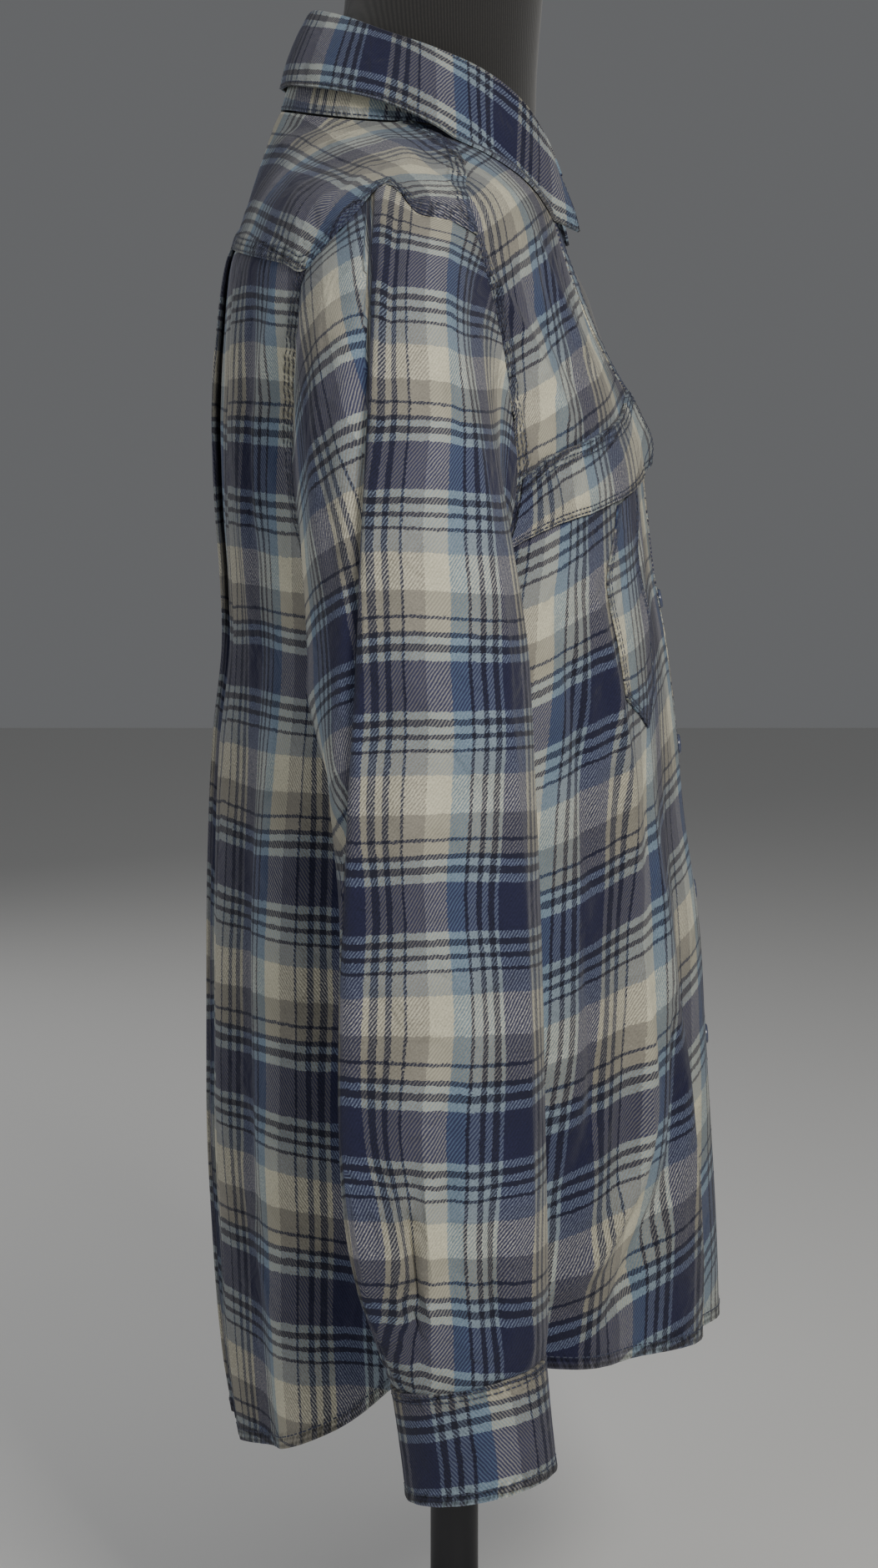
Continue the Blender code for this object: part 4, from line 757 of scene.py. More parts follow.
def inset_line(grid, side, inset, lift, span=(0, None)):
    """Points on a grid's outer face, so far in from one edge, and their normals."""
    points = edge_first(grid, side)
    normals = edge_first(outward_normals(grid), side)
    run = run_along(points)
    line = np.zeros((points.shape[1], 3))
    way = np.zeros_like(line)
    for j in range(points.shape[1]):
        for k in range(3):
            line[j, k] = np.interp(inset, run[:, j], points[:, j, k])
            way[j, k] = np.interp(inset, run[:, j], normals[:, j, k])
    way = unit(way)
    line = line + way * lift
    return line[slice(*span)], way[slice(*span)]


STITCH, STITCH_PITCH = 2.7, 3.5          # length of a stitch, and from one to the next
THREAD_WIDE, THREAD_HIGH = 0.42, 0.36
ONE_LAYER = CLOTH / 2 - 0.05             # thread lies this far out from the middle of one layer


def sew(name, lines):
    """Rows of lock stitches along lines of points with their normals."""
    # share of the stitch, width and height of its five sections
    section = np.array([(0, 0.12, -0.12), (0.14, 1, 1), (0.5, 1.1, 1.15), (0.86, 1, 1), (1, 0.12, -0.12)])
    points = []
    for line, way in lines:
        run = run_along(line)
        if run[-1] < 6.0:
            continue
        count = int((run[-1] - 1.5) / STITCH_PITCH)
        starts = 0.8 + np.arange(count) * STITCH_PITCH + 0.25 * np.sin(np.arange(count) * 2.4)
        at = (starts[:, None] + section[None, :, 0] * STITCH).ravel()
        spot, up = [np.stack([np.interp(at, run, what[:, k]) for k in range(3)], axis=1).reshape(count, 5, 3)
                    for what in (line, way)]
        up = unit(up)
        side = unit(np.cross(spot[:, -1:] - spot[:, :1], up))
        wide = side * (section[:, 1] * THREAD_WIDE)[None, :, None]
        high = up * (section[:, 2] * THREAD_HIGH)[None, :, None]
        points.append(np.stack([spot + wide, spot + high, spot - wide, spot - up * 0.25], axis=2))
    points = np.concatenate(points)
    i, j = np.meshgrid(np.arange(4), np.arange(4), indexing="ij")
    k = (j + 1) % 4
    quads = np.stack([i * 4 + j, (i + 1) * 4 + j, (i + 1) * 4 + k, i * 4 + k], axis=-1).reshape(-1, 4)
    quads = np.concatenate([quads, [[3, 2, 1, 0], [16, 17, 18, 19]]])
    faces = (quads[None] + (np.arange(len(points)) * 20)[:, None, None]).reshape(-1, 4)
    piece = add_piece(name, points.reshape(-1, 3), faces, thread)
    belongs(piece)
    return piece


def flipped(rows, flip):
    """Rows of sewing on the wearer's right or left."""
    return [(line * flip, way * flip) for line, way in rows]


SIDES = {"right": np.ones(3), "left": MIRROR}
ARM_COLUMNS = 6 * FINE + 1               # fine columns of the yoke that lie on the armhole
rows_of_yoke = []
for inset in (1.5, 4.7, 7.9):
    rows = [inset_line(yoke_right, "bottom", inset, ONE_LAYER, (0, ARM_COLUMNS)),
            inset_line(yoke_right, "bottom", inset, ONE_LAYER, (ARM_COLUMNS - 1, None)),
            inset_line(yoke_right, "left", inset, ONE_LAYER)]
    rows_of_yoke += flipped(rows, SIDES["right"]) + flipped(rows, SIDES["left"])
sew("yoke_sewing", rows_of_yoke)

# ================================================================ back
# One layer of the same cloth from side seam to side seam, let into the yoke with a box pleat at
# the centre. Its curved hem is turned up twice and sewn.
PLEAT_HALF = 18.0        # half width of the box pleat at the yoke
SIDE_SEAM = [(34, 614), (30, 600), (24, 500), (18, 400), (13, 300), (10, 240)]
HEM_BACK = [(0, 240), (0.1, 222), (0.25, 197), (0.45, 176), (0.65, 163), (0.85, 155), (1, 152)]
# main folds: angle and height at the top, the same at the lower end, rise, half width in degrees
FOLDS_RIGHT = [
    (-50, 610, -55, 150, 6.5, 8), (-63, 640, -68, 150, -3.5, 8),
    (-77, 560, -76, 120, 3, 7), (-34, 560, -37, 120, -5, 8),
    (-20, 500, -22, 100, 3.5, 8), (71, 800, 70, 100, 3, 7),
    (57, 690, 55, 110, -5, 8), (41, 640, 40, 110, 5.5, 8),
    (24, 560, 24, 110, -3.5, 8),
]
FOLDS_LEFT = [
    (-44, 600, -46, 150, 6.5, 8), (-58, 640, -60, 150, -5, 8),
    (-74, 520, -73, 120, 3.5, 7), (-30, 540, -31, 120, -4.5, 8),
    (-16, 480, -18, 100, 3, 8), (69, 780, 68, 100, 3.5, 8),
    (54, 680, 52, 110, -5, 8), (38, 620, 37, 110, 5, 8),
    (22, 540, 22, 110, -3, 8),
]
DOWN, ACROSS = 8, 4      # fine steps to one of the back's and fronts' tables
DEGREE = 3.0             # creases count one degree round the body as so many millimetres
FORM_GAP = 2.2           # the cloth's middle stays so far off the form
BACK_COLUMNS = 17
HEM_CENTRE = 152.0       # height of the hem at the centre of the back


def fold_rise(angle, z, folds):
    """Sum of the main folds' rises at points of the body."""
    total = np.zeros(np.broadcast(angle, z).shape)
    degrees = np.degrees(angle)
    for top_angle, top_z, low_angle, low_z, rise, width in folds:
        along = np.clip((top_z - z) / (top_z - low_z), 0, 1)
        middle = top_angle + (low_angle - top_angle) * along
        total += rise * ease(along / 0.35) * bell(degrees, middle, width)
    return total


def hang_cloth(patch, folds, creases, extra=0.0):
    """Right-half points of a patch of the body with its folds and creases."""
    base = on_body(patch[..., 0], patch[..., 1])
    unrolled = np.stack([np.degrees(patch[..., 0]) * DEGREE, patch[..., 1]], axis=-1)
    lines = [([(x * DEGREE, z) for x, z in line], rise, width) for line, rise, width in creases]
    rise = fold_rise(patch[..., 0], patch[..., 1], folds) + crease_rise(unrolled, lines) + extra
    return push_clear(raised(base, rise), FORM, FORM_GAP)


def hem_curve(table, count, corner, end_angle):
    """Hem from the side seam to the centre, as angles and heights."""
    part = np.linspace(0, 1, count)
    return np.stack([corner + (end_angle - corner) * part, smooth_columns(table, part)[0]], axis=1)


side_seam = resample(side_curve(SIDE_SEAM), 12)
back_edge_rows = np.concatenate([armhole_back, side_seam[1:]])
hem_corner = float(side_seam[-1][0])
back_hem = hem_curve(HEM_BACK, BACK_COLUMNS, hem_corner, half_turn)
edge_z = back_edge_rows[:, 1]
centre_z = CENTRE_SEAM + (HEM_CENTRE - CENTRE_SEAM) * (edge_z[0] - edge_z) / (edge_z[0] - edge_z[-1])
back_centre = np.stack([np.full(len(edge_z), half_turn), centre_z], axis=1)
share = np.linspace(0, 1, BACK_COLUMNS)
yoke_share = np.linspace(0, 1, len(yoke_back))
back_top = np.stack([np.interp(share, yoke_share, yoke_back[:, k]) for k in range(2)], axis=1)
back_patch = fill_patch(back_top, back_hem, back_edge_rows, back_centre)
back_fine = refine(back_patch, DOWN, ACROSS)
BACK_CREASES_RIGHT = [
    ([(40, 800), (47, 740), (50, 660)], 3.2, 9),
    ([(33, 770), (38, 700), (36, 640)], -2.4, 8),
    ([(62, 812), (60, 740), (57, 650), (58, 560)], 2.6, 10),
    ([(52, 805), (54, 720), (52, 640)], -2.6, 9),
    ([(78, 800), (76, 690), (77, 560)], -2, 9),
    ([(30, 560), (33, 470), (31, 360)], 2.4, 9),
    ([(48, 520), (49, 420), (47, 300)], 2.6, 10),
    ([(64, 520), (65, 400), (63, 260)], 2.4, 10),
    ([(16, 600), (14, 500), (17, 400), (15, 280)], 2.4, 9),
    ([(60, 330), (50, 270), (38, 235)], 1.8, 8),
    ([(74, 470), (72, 360), (74, 240)], -1.8, 9),
]
BACK_CREASES_LEFT = [
    ([(42, 798), (46, 730), (47, 650)], 3, 9),
    ([(34, 775), (36, 700), (33, 630)], -2.2, 8),
    ([(60, 812), (61, 730), (59, 640), (56, 540)], 2.8, 10),
    ([(51, 800), (52, 730), (54, 650)], -2.4, 9),
    ([(79, 790), (78, 680), (76, 540)], -1.8, 9),
    ([(28, 540), (31, 450), (30, 340)], 2.2, 9),
    ([(46, 500), (44, 400), (46, 290)], 2.8, 10),
    ([(62, 540), (60, 420), (62, 250)], 2.2, 10),
    ([(12, 580), (15, 480), (13, 380), (14, 270)], 2.2, 9),
    ([(56, 310), (47, 262), (34, 240)], 1.6, 8),
]


PLAIN_COLUMNS, PLEAT_COLUMNS = 62, 41
SIDE_PLEAT = 94.0        # distance of the side pleat from the centre
SIDE_PLEAT_COLUMN = 40
SIDE_PLEAT_CLOTH = 62.0  # cloth folded away in it
BOX_PLEAT_CLOTH = 31.0   # and in each half of the box pleat


def box_pleat(half):
    """A half back with its cloth folded under the box pleat and the side pleat, centre last."""
    rows = []
    for i, row in enumerate(half):
        down = i / (len(half) - 1)
        layer = 1.9 + 0.9 * ease(down / 0.12)
        # the cloth under the pleat is folded in at the yoke and opens out toward the hem
        tuck = 9.0 - 26.0 * ease((down - 0.12) / 0.7)
        edge = PLEAT_HALF + 5.0 * ease((down - 0.2) / 0.8)
        way = np.clip(tuck / 9.0, -1, 1)
        inner = edge - tuck
        part = 0.17 * (1 - abs(way))
        wanted = np.array([inner + 14.0, inner + 2.0, inner, inner + 2.0 * way, edge - 2.0 * way, edge,
                           edge - 2.0, edge * 0.5, 0.0])
        rise = np.array([0.0, 0.0, 0.5, 1.0 - part, 1.0 + part, 1.5, 2.0, 2.1, 2.1]) * layer
        # finer steps along the folded profile, with its bends rounded
        steps = np.linspace(0, len(wanted) - 1, PLEAT_COLUMNS)
        wanted, rise = [np.interp(steps, np.arange(len(what)), what) for what in (wanted, rise)]
        for _ in range(2):
            for what in (wanted, rise):
                what[1:-1] = 0.25 * what[:-2] + 0.5 * what[1:-1] + 0.25 * what[2:]
        distance = np.abs(row[:, 0])
        order = np.argsort(distance)
        y, z = [np.interp(wanted, distance[order], row[order, k]) for k in (1, 2)]
        pleat = np.stack([-wanted, y + rise, z], axis=1)
        path = np.concatenate([row[distance > inner + 16.0], pleat[:1]])
        run = run_along(path)
        # a second, pressed pleat: the side's cloth lies over the middle's along one upright line
        turned_at = np.interp(-SIDE_PLEAT, path[:, 0], run)
        even = np.concatenate([np.linspace(0, turned_at - 0.5, SIDE_PLEAT_COLUMN + 1),
                               np.linspace(turned_at + 0.5, run[-1], PLAIN_COLUMNS - SIDE_PLEAT_COLUMN - 1)])
        line = np.stack([np.interp(even, run, path[:, k]) for k in range(3)], axis=1)
        over = np.where(even < turned_at, 1.5 * np.exp((even - turned_at) / 16.0),
                        -0.7 * np.exp((turned_at - even) / 9.0))
        line = line + np.array([-0.35, 0.94, 0.0]) * (over * ease(down / 0.04))[:, None]
        rows.append(np.concatenate([line, pleat[1:]]))
    return np.array(rows)


def edge_relief(points):
    """Puckers along a body panel's hem, and the step of its top edge under the yoke."""
    low_away, low_run = away_from(points, "bottom")
    return (0.25 * waves(low_run, (1, 1.9, 0)) * bell(low_away, 4.0, 7.0)
            - 0.5 * bell(away_from(points, "top")[0], 0, 5.0))


YOKE_LAP = 5.0           # body panels run on so far under the yoke


def lap_under(points, grain):
    """A body panel and its flat coordinates with the top edge run on under the yoke's seam."""
    up = unit(points[0] - points[1])
    inward = -outward_normals(points)[0]
    top = [points[0] + up * YOKE_LAP + inward * 0.7, points[0] + inward * 0.5]
    return np.concatenate([top, points[1:]]), np.concatenate([grain[:1] + np.array([0.0, YOKE_LAP]), grain])


SINGLE_SEAM, HEM_SEAM, HEM_WIDTH = 2.4, 5.2, 7.5
HEM_FOLD = 0.7           # the hem's turned cloth thickens it by this


def body_panel(name, node, points, grain, sides, armhole_rows):
    """A body panel with triple seams along its armholes and its hem turned up."""
    hem_away = away_from(points, "bottom")[0]
    seam = np.where(np.arange(len(points)) < armhole_rows, TRIPLE_SEAM, SINGLE_SEAM)[:, None]
    seams = {side: seam for side in sides}
    seams["bottom"] = HEM_SEAM
    return cloth_wall(name, node, points, CLOTH + HEM_FOLD * (hem_away < HEM_WIDTH), grain,
                      worn=bell(hem_away, 0, 2.0), seams=seams)


def panel_rows(points, side, armhole_rows, hem_spans=((0, None),)):
    """Three rows of sewing along the armhole, one down the side seam and one round the hem."""
    lines = [inset_line(points, side, inset, ONE_LAYER, (0, armhole_rows)) for inset in (1.6, 4.8, 8.0)]
    lines.append(inset_line(points, side, 2.2, ONE_LAYER, (armhole_rows, None)))
    return lines + [inset_line(points, "bottom", 6.2, CLOTH / 2 + 0.25, span) for span in hem_spans]


hem_fold = 1.0 - ease((away_from(on_body(back_fine[..., 0], back_fine[..., 1]), "bottom")[0] - 7.0) / 1.6)
coarse = on_body(back_patch[..., 0], back_patch[..., 1])
back_flat = refine(lay_flat(coarse, np.stack([-coarse[..., 0] * 1.2, coarse[..., 2]], axis=-1)), DOWN, ACROSS)
back_flat = back_flat - np.array([back_flat[0, -1, 0], back_flat[-1, -1, 1] - HEM_CENTRE])
halves = []
grains = []
for folds, creases in ((FOLDS_RIGHT, BACK_CREASES_RIGHT), (FOLDS_LEFT, BACK_CREASES_LEFT)):
    base = hang_cloth(back_fine, folds, creases)
    relief = 0.8 * seam_relief(base, "left", 2.2) + 0.35 * hem_fold + edge_relief(base)
    base = raised(base, relief)
    half = box_pleat(base)
    distance = np.abs(half[..., 0])
    # the cloth's own coordinates run on round the folds of the pleat
    grain = np.zeros(half.shape[:2] + (2,))
    fold = PLAIN_COLUMNS + int(PLEAT_COLUMNS * 0.62)
    for i in range(len(half)):
        order = np.argsort(np.abs(base[i, :, 0]))
        for k in range(2):
            grain[i, :, k] = np.interp(distance[i], np.abs(base[i, order, 0]), back_flat[i, order, k])
        grain[i, fold:, 0] = distance[i, fold:]
        grain[i, :PLAIN_COLUMNS, 0] += BOX_PLEAT_CLOTH
        grain[i, :SIDE_PLEAT_COLUMN + 1, 0] += SIDE_PLEAT_CLOTH
        grain[i, PLAIN_COLUMNS:fold, 0] = np.linspace(grain[i, PLAIN_COLUMNS - 1, 0], grain[i, fold, 0],
                                                     fold - PLAIN_COLUMNS + 1)[:-1]
    half, grain = lap_under(half, grain)
    halves.append(half)
    grains.append(grain)
back_grid = np.concatenate([halves[0], mirror(halves[1])[:, 1:]], axis=1)
back_grain = np.concatenate([grains[0], mirror_grain(grains[1])[:, 1:]], axis=1)
back_grain = back_grain * np.array([-1.0, 1.0]) + np.array([56.6, 58.0])
BACK_ARM_ROWS = 8 * DOWN                 # fine rows of the back that end on the armhole
back = body_panel("back_flannel", "back_panel", back_grid, back_grain, ("left", "right"), BACK_ARM_ROWS)
rows_of_back = []
for half, flip in zip(halves, SIDES.values()):
    # the hem's row stops at the folds of the pleat
    hem_spans = ((0, PLAIN_COLUMNS - 4), (PLAIN_COLUMNS + 26, None))
    rows_of_back += flipped(panel_rows(half[1:], "left", BACK_ARM_ROWS, hem_spans), flip)
sew("back_sewing", rows_of_back)

# ================================================================ fronts
# Each front is one layer from the armhole and side seam to its band. Undone at the top, it turns
# out in a V, and long soft folds fall from the shoulder and the chest.
NECK_END = (63.0, -47.5)
SEAM_ROWS = [857, 838, 812, 780, 745, 718, 690, 658]
FRONT_EDGE = [  # height, free edge (distance from the centre on the wearer's own side), band seam
    (868, 63, 85.5), (838, 63, 86.5), (812, 61, 87), (790, 56, 84), (768, 46, 75),
    (754, 36, 65), (742, 22, 52), (730, 4, 38), (718, -10, 26), (700, -14.3, 16.5),
    (670, -14.5, 15), (100, -14.5, 15),
]
FRONT_HEM = 214.0        # height of the hem at the band
HEM_FRONT = [(0, 240), (0.12, 234.5), (0.3, 229), (0.5, 226.5), (0.7, 223.5), (0.88, 218), (1, FRONT_HEM)]
FRONT_COLUMNS = 19


def edge_point(z, column):
    """Angle and height on the free edge (0) or the seam (1) of the front band."""
    a, _, _, n = body_section(z)
    s = np.clip(smooth_columns(FRONT_EDGE, z)[column] / a, -1, 1)
    return (float(-np.arccos(np.sign(s) * np.abs(s) ** (n / 2))), float(z))


def pull_at_button(grid):
    """The fronts stand out where the first fastened button holds them."""
    return 4.0 * bell(grid[..., 1], 716.0, 11.0) * bell(np.degrees(grid[..., 0]), -90.0, 16.0)


def layer_lift(z):
    """The wearer's right front lies over the left one below the first button."""
    return 2.5 * ease((758.0 - z) / 22.0)


front_edge_rows = np.concatenate([armhole_front, side_seam[1:]])
ARM_ROWS = len(armhole_front)
seam_rows = [tuple(p) for p in resample(neck_front, 3)]
seam_rows += [edge_point(z, 1) for z in SEAM_ROWS]
underarm_z = front_edge_rows[ARM_ROWS - 1][1]
for z in front_edge_rows[ARM_ROWS:, 1]:
    t = (underarm_z - z) / (underarm_z - side_seam[-1][1])
    seam_rows.append(edge_point(SEAM_ROWS[-1] + (FRONT_HEM - SEAM_ROWS[-1]) * t, 1))
seam_rows = np.array(seam_rows)
front_top = resample(yoke_front[::-1], FRONT_COLUMNS)
front_hem = hem_curve(HEM_FRONT, FRONT_COLUMNS, hem_corner, seam_rows[-1][0])
front_patch = fill_patch(front_top, front_hem, front_edge_rows, seam_rows)
front_fine = refine(front_patch, DOWN, ACROSS)
FRONT_CREASES_RIGHT = [
    ([(-25, 815), (-33, 770), (-40, 715)], 3.4, 7),
    ([(-36, 826), (-42, 780), (-47, 730)], -2.6, 7),
    ([(-48, 838), (-52, 800), (-58, 752)], 3, 8),
    ([(-60, 838), (-62, 800), (-66, 760)], -1.8, 7),
    ([(-21, 760), (-28, 715), (-37, 680)], -2.6, 7),
    ([(-38, 655), (-41, 600), (-44, 520), (-43, 450)], 5, 8),
    ([(-27, 640), (-30, 560), (-32, 470)], -4.2, 9),
    ([(-54, 560), (-50, 480), (-47, 420)], -4.5, 8),
    ([(-43, 440), (-41, 345), (-31, 300), (-12, 264)], 10, 8),
    ([(-53, 410), (-51, 330), (-41, 285), (-26, 248)], -9, 9),
    ([(-28, 450), (-27, 360), (-14, 306)], -6, 9),
    ([(-12, 560), (-15, 470), (-12, 380), (-14, 300)], 2.6, 8),
    ([(-68, 600), (-70, 500), (-67, 400), (-69, 300)], -2.4, 9),
    ([(-72, 700), (-66, 640), (-58, 600)], 2.4, 9),
    ([(-82, 640), (-80, 520), (-82, 400)], 1.8, 8),
    ([(-61, 400), (-58, 310), (-59, 225)], 4.5, 9),
]
FRONT_CREASES_LEFT = [
    ([(-24, 812), (-31, 765), (-37, 705)], 3, 7),
    ([(-35, 828), (-40, 785), (-45, 735)], -2.4, 7),
    ([(-47, 836), (-51, 798), (-55, 748)], 2.8, 8),
    ([(-58, 836), (-61, 795), (-64, 755)], -1.8, 7),
    ([(-22, 755), (-27, 710), (-34, 672)], -2.4, 7),
    ([(-36, 640), (-38, 570), (-41, 480)], 3.4, 8),
    ([(-26, 620), (-27, 540), (-30, 450)], -2.6, 9),
    ([(-50, 540), (-50, 450), (-46, 360), (-44, 280)], 3.6, 9),
    ([(-38, 400), (-34, 330), (-25, 290), (-13, 262)], 5, 9),
    ([(-10, 540), (-13, 450), (-11, 360)], 2.4, 8),
    ([(-66, 620), (-68, 520), (-66, 420), (-67, 300)], -2.6, 9),
    ([(-74, 690), (-67, 635), (-60, 590)], 2.2, 9),
    ([(-58, 320), (-60, 270), (-57, 225)], 2.6, 9),
]
FRONT_SIDES = (("right", FOLDS_RIGHT, FRONT_CREASES_RIGHT), ("left", FOLDS_LEFT, FRONT_CREASES_LEFT))
coarse = on_body(front_patch[..., 0], front_patch[..., 1])
front_flat = lay_flat(coarse, np.stack([coarse[..., 0] * 1.2 - 0.3 * coarse[..., 1], coarse[..., 2]],
                                       axis=-1))
front_flat = front_flat - np.array([front_flat[-1, -1, 0], front_flat[-1, -1, 1] - FRONT_HEM])
front_flat = refine(front_flat, DOWN, ACROSS)
# worn open, the front has swung: its weft climbs and its warp leans toward the band at the side
swing = 1.0 - 0.8 * ease((front_flat[..., 0] + 130.0) / 130.0)
front_weft = front_flat[..., 1] - 0.24 * swing * front_flat[..., 0]
front_warp = front_flat[..., 0] - 0.16 * swing * (front_flat[..., 1] - 480.0)
front_grain = np.stack([front_warp, front_weft], axis=-1) + np.array([22.0, 30.0])
FRONT_ARM_ROWS = 10 * DOWN               # fine rows of a front that end on the armhole
front_mid = {}
for side, folds, creases in FRONT_SIDES:
    lift = pull_at_button(front_fine)
    if side == "right":
        near_band = ease((np.arange(front_fine.shape[1]) / ACROSS - 15.0) / 3.0)
        lift = lift + layer_lift(front_fine[..., 1]) * near_band
    points = hang_cloth(front_fine, folds, creases, lift)
    front_mid[side] = points
    relief = (0.8 * seam_relief(points, "left", 0.9) + 0.3 * seam_relief(points, "right", 3.0)
              + edge_relief(points))
    points = raised(points, relief)
    points, grain = on_side(side, *lap_under(points, front_grain))
    if side == "left":
        grain = grain + np.array([30.0, 0.0])
    arm_side = "left" if side == "right" else "right"
    front = body_panel("front_flannel_" + side, "front_" + side, points, grain, (arm_side,), FRONT_ARM_ROWS)
    front_sewing = sew("front_sewing_" + side, panel_rows(points[1:], arm_side, FRONT_ARM_ROWS))

# ================================================================ front bands
# A folded double strip with interlining, cut along the warp, edge-stitched on both sides; the
# wearer's right band lies over the left one and both turn out above the first button.
DOUBLE = 1.8                             # two layers and the interlining between them
TWO_LAYERS = DOUBLE / 2 - 0.05           # thread lies this far out from their middle
BAND_WIDTH = 30.0
BAND_ACROSS = 13
BAND_MIDDLE = 6
EDGE_SEAM = 3.6                          # width of a seam with two rows of edge stitching
neck_end = plan_curve([NECK_END])[0]
BAND_STEPS = np.linspace(2.0, 21.0, 19 * DOWN + 1)
band_patch = np.zeros((len(BAND_STEPS), BAND_ACROSS, 2))
for i, r in enumerate(BAND_STEPS):
    start = front_fine[int(round(r * DOWN)), -1]
    end = np.array(edge_point(start[1], 0))
    if r < 5.0:
        end = neck_end + (np.array(edge_point(seam_rows[5][1], 0)) - neck_end) * (r - 2.0) / 3.0
    band_patch[i] = start + (end - start) * np.linspace(0, 1, BAND_ACROSS)[:, None]
band_mid = {}
for side, folds, creases in FRONT_SIDES:
    lift = pull_at_button(band_patch)
    if side == "right":
        lift = lift + layer_lift(band_patch[..., 1])
    points = hang_cloth(band_patch, folds, creases, lift)
    points[:, 0] = front_mid[side][2 * DOWN:, -1]
    band_mid[side] = points
    free_away, free_run = away_from(points, "right")
    sewn_away = away_from(points, "left")[0]
    ripple = waves(free_run, (1, 2.1, 0), (0.6, 3.4, 1.0), (0.4, 1.3, 0))
    relief = 0.55 * bell(sewn_away, 0, 4.0)
    for away in (free_away, sewn_away):
        relief = relief + 0.22 * ripple * bell(away, 3.0, 3.0) - 0.3 * bell(away, 3.2, 1.0)
    points = raised(points, relief)
    length = run_along(points[:, BAND_MIDDLE])
    warp = np.broadcast_to(np.linspace(0, BAND_WIDTH, BAND_ACROSS) + 53.0, points.shape[:2])
    weft = np.broadcast_to((length[-1] - length)[:, None] + FRONT_HEM, points.shape[:2])
    grain = np.stack([warp, weft], axis=-1)
    points, grain = on_side(side, points, grain)
    worn = 0.9 * bell(free_away, 0, 1.6)
    if side == "left":
        worn = worn[:, ::-1]
    band = cloth_wall("band_flannel_" + side, "band_" + side, points, DOUBLE, grain, worn=worn,
                      seams={"left": EDGE_SEAM, "right": EDGE_SEAM})
    band_sewing = sew("band_sewing_" + side, [inset_line(points, edge, inset, TWO_LAYERS)
                                              for edge in ("left", "right") for inset in (1.3, 4.4)])

# ================================================================ pockets and flaps
# A narrow single-layer pen pocket with a pointed foot, double-stitched to each front, under a
# wide double flap that hangs from the armhole nearly to the band, loose along its lower edge.
POCKET_COLUMNS = [9.2, 10.0, 11.0, 12.0, 12.5]
POCKET_ROWS = [8.45, 9.0, 10.0, 11.0]
POCKET_POINT = [11.7, 11.95, 12.25, 11.9, 11.7]
FLAP_COLUMNS = [0.35] + [float(k) for k in range(1, 18)] + [17.4]


def lay_on(panel, rows, columns, lift, down, across, closed=False):
    """Points at table positions of a fine panel, moved out from it by lift."""
    normal = -grid_normals(panel, True) if closed else outward_normals(panel)
    rows = np.asarray(rows) * down
    columns = np.asarray(columns) * across
    k = np.clip(rows.astype(int), 0, panel.shape[0] - 2)
    t = (rows - k)[..., None]
    if closed:
        m = np.floor(columns).astype(int)
        u = (columns - m)[..., None]
        n = (m + 1) % panel.shape[1]
        m = m % panel.shape[1]
    else:
        m = np.clip(columns.astype(int), 0, panel.shape[1] - 2)
        u = (columns - m)[..., None]
        n = m + 1

    def blend(grid):
        return ((1 - t) * ((1 - u) * grid[k, m] + u * grid[k, n])
                + t * ((1 - u) * grid[k + 1, m] + u * grid[k + 1, n]))
    return blend(panel) + unit(blend(normal)) * np.asarray(lift)[..., None]


def bend_grid(grid, down, across):
    """Even straight steps between the points of a coarse grid."""
    for axis, times in ((0, down), (1, across)):
        count = grid.shape[axis]
        at = np.linspace(0, count - 1, (count - 1) * times + 1)
        low = np.clip(at.astype(int), 0, count - 2)
        part = (at - low).reshape([-1 if k == axis else 1 for k in range(grid.ndim)])
        grid = np.take(grid, low, axis=axis) * (1 - part) + np.take(grid, low + 1, axis=axis) * part
    return grid


POCKET_LIFT = 1.55       # middle of the pocket over the middle of the front
FLAP_WALL = 1.7
pocket_places = np.stack([np.stack([np.broadcast_to(r, 5), POCKET_COLUMNS], axis=-1)
                          for r in POCKET_ROWS + [POCKET_POINT]])
pocket_places = bend_grid(pocket_places, 9, 5)
# the flap lies on the front along its top, over the pocket, and stands off at its free end
columns = np.array(FLAP_COLUMNS)
over_pocket = np.interp(columns, [8.0, 9.0, 12.7, 14.0], [0.0, 1.7, 1.7, 0.0])
free_end = ease((columns - 13.0) / 4.4)
top_lift = (CLOTH + DOUBLE) / 2 + 0.45
flap_rows = ((7.0 + 0 * columns, top_lift + 0 * columns),
             (7.6 + 0 * columns, top_lift + 0.5 + over_pocket + free_end),
             (8.12 + 0.38 * columns / 17.4, top_lift + 1.2 + over_pocket + 3.0 * free_end))
flap_places = refine(np.stack([np.stack([row, columns, lift], axis=-1) for row, lift in flap_rows]), 10, 5)
LEAN = math.radians(9.0)                 # of the flap's threads to its top edge
lean_turn = np.array([[math.cos(LEAN), -math.sin(LEAN)], [math.sin(LEAN), math.cos(LEAN)]])
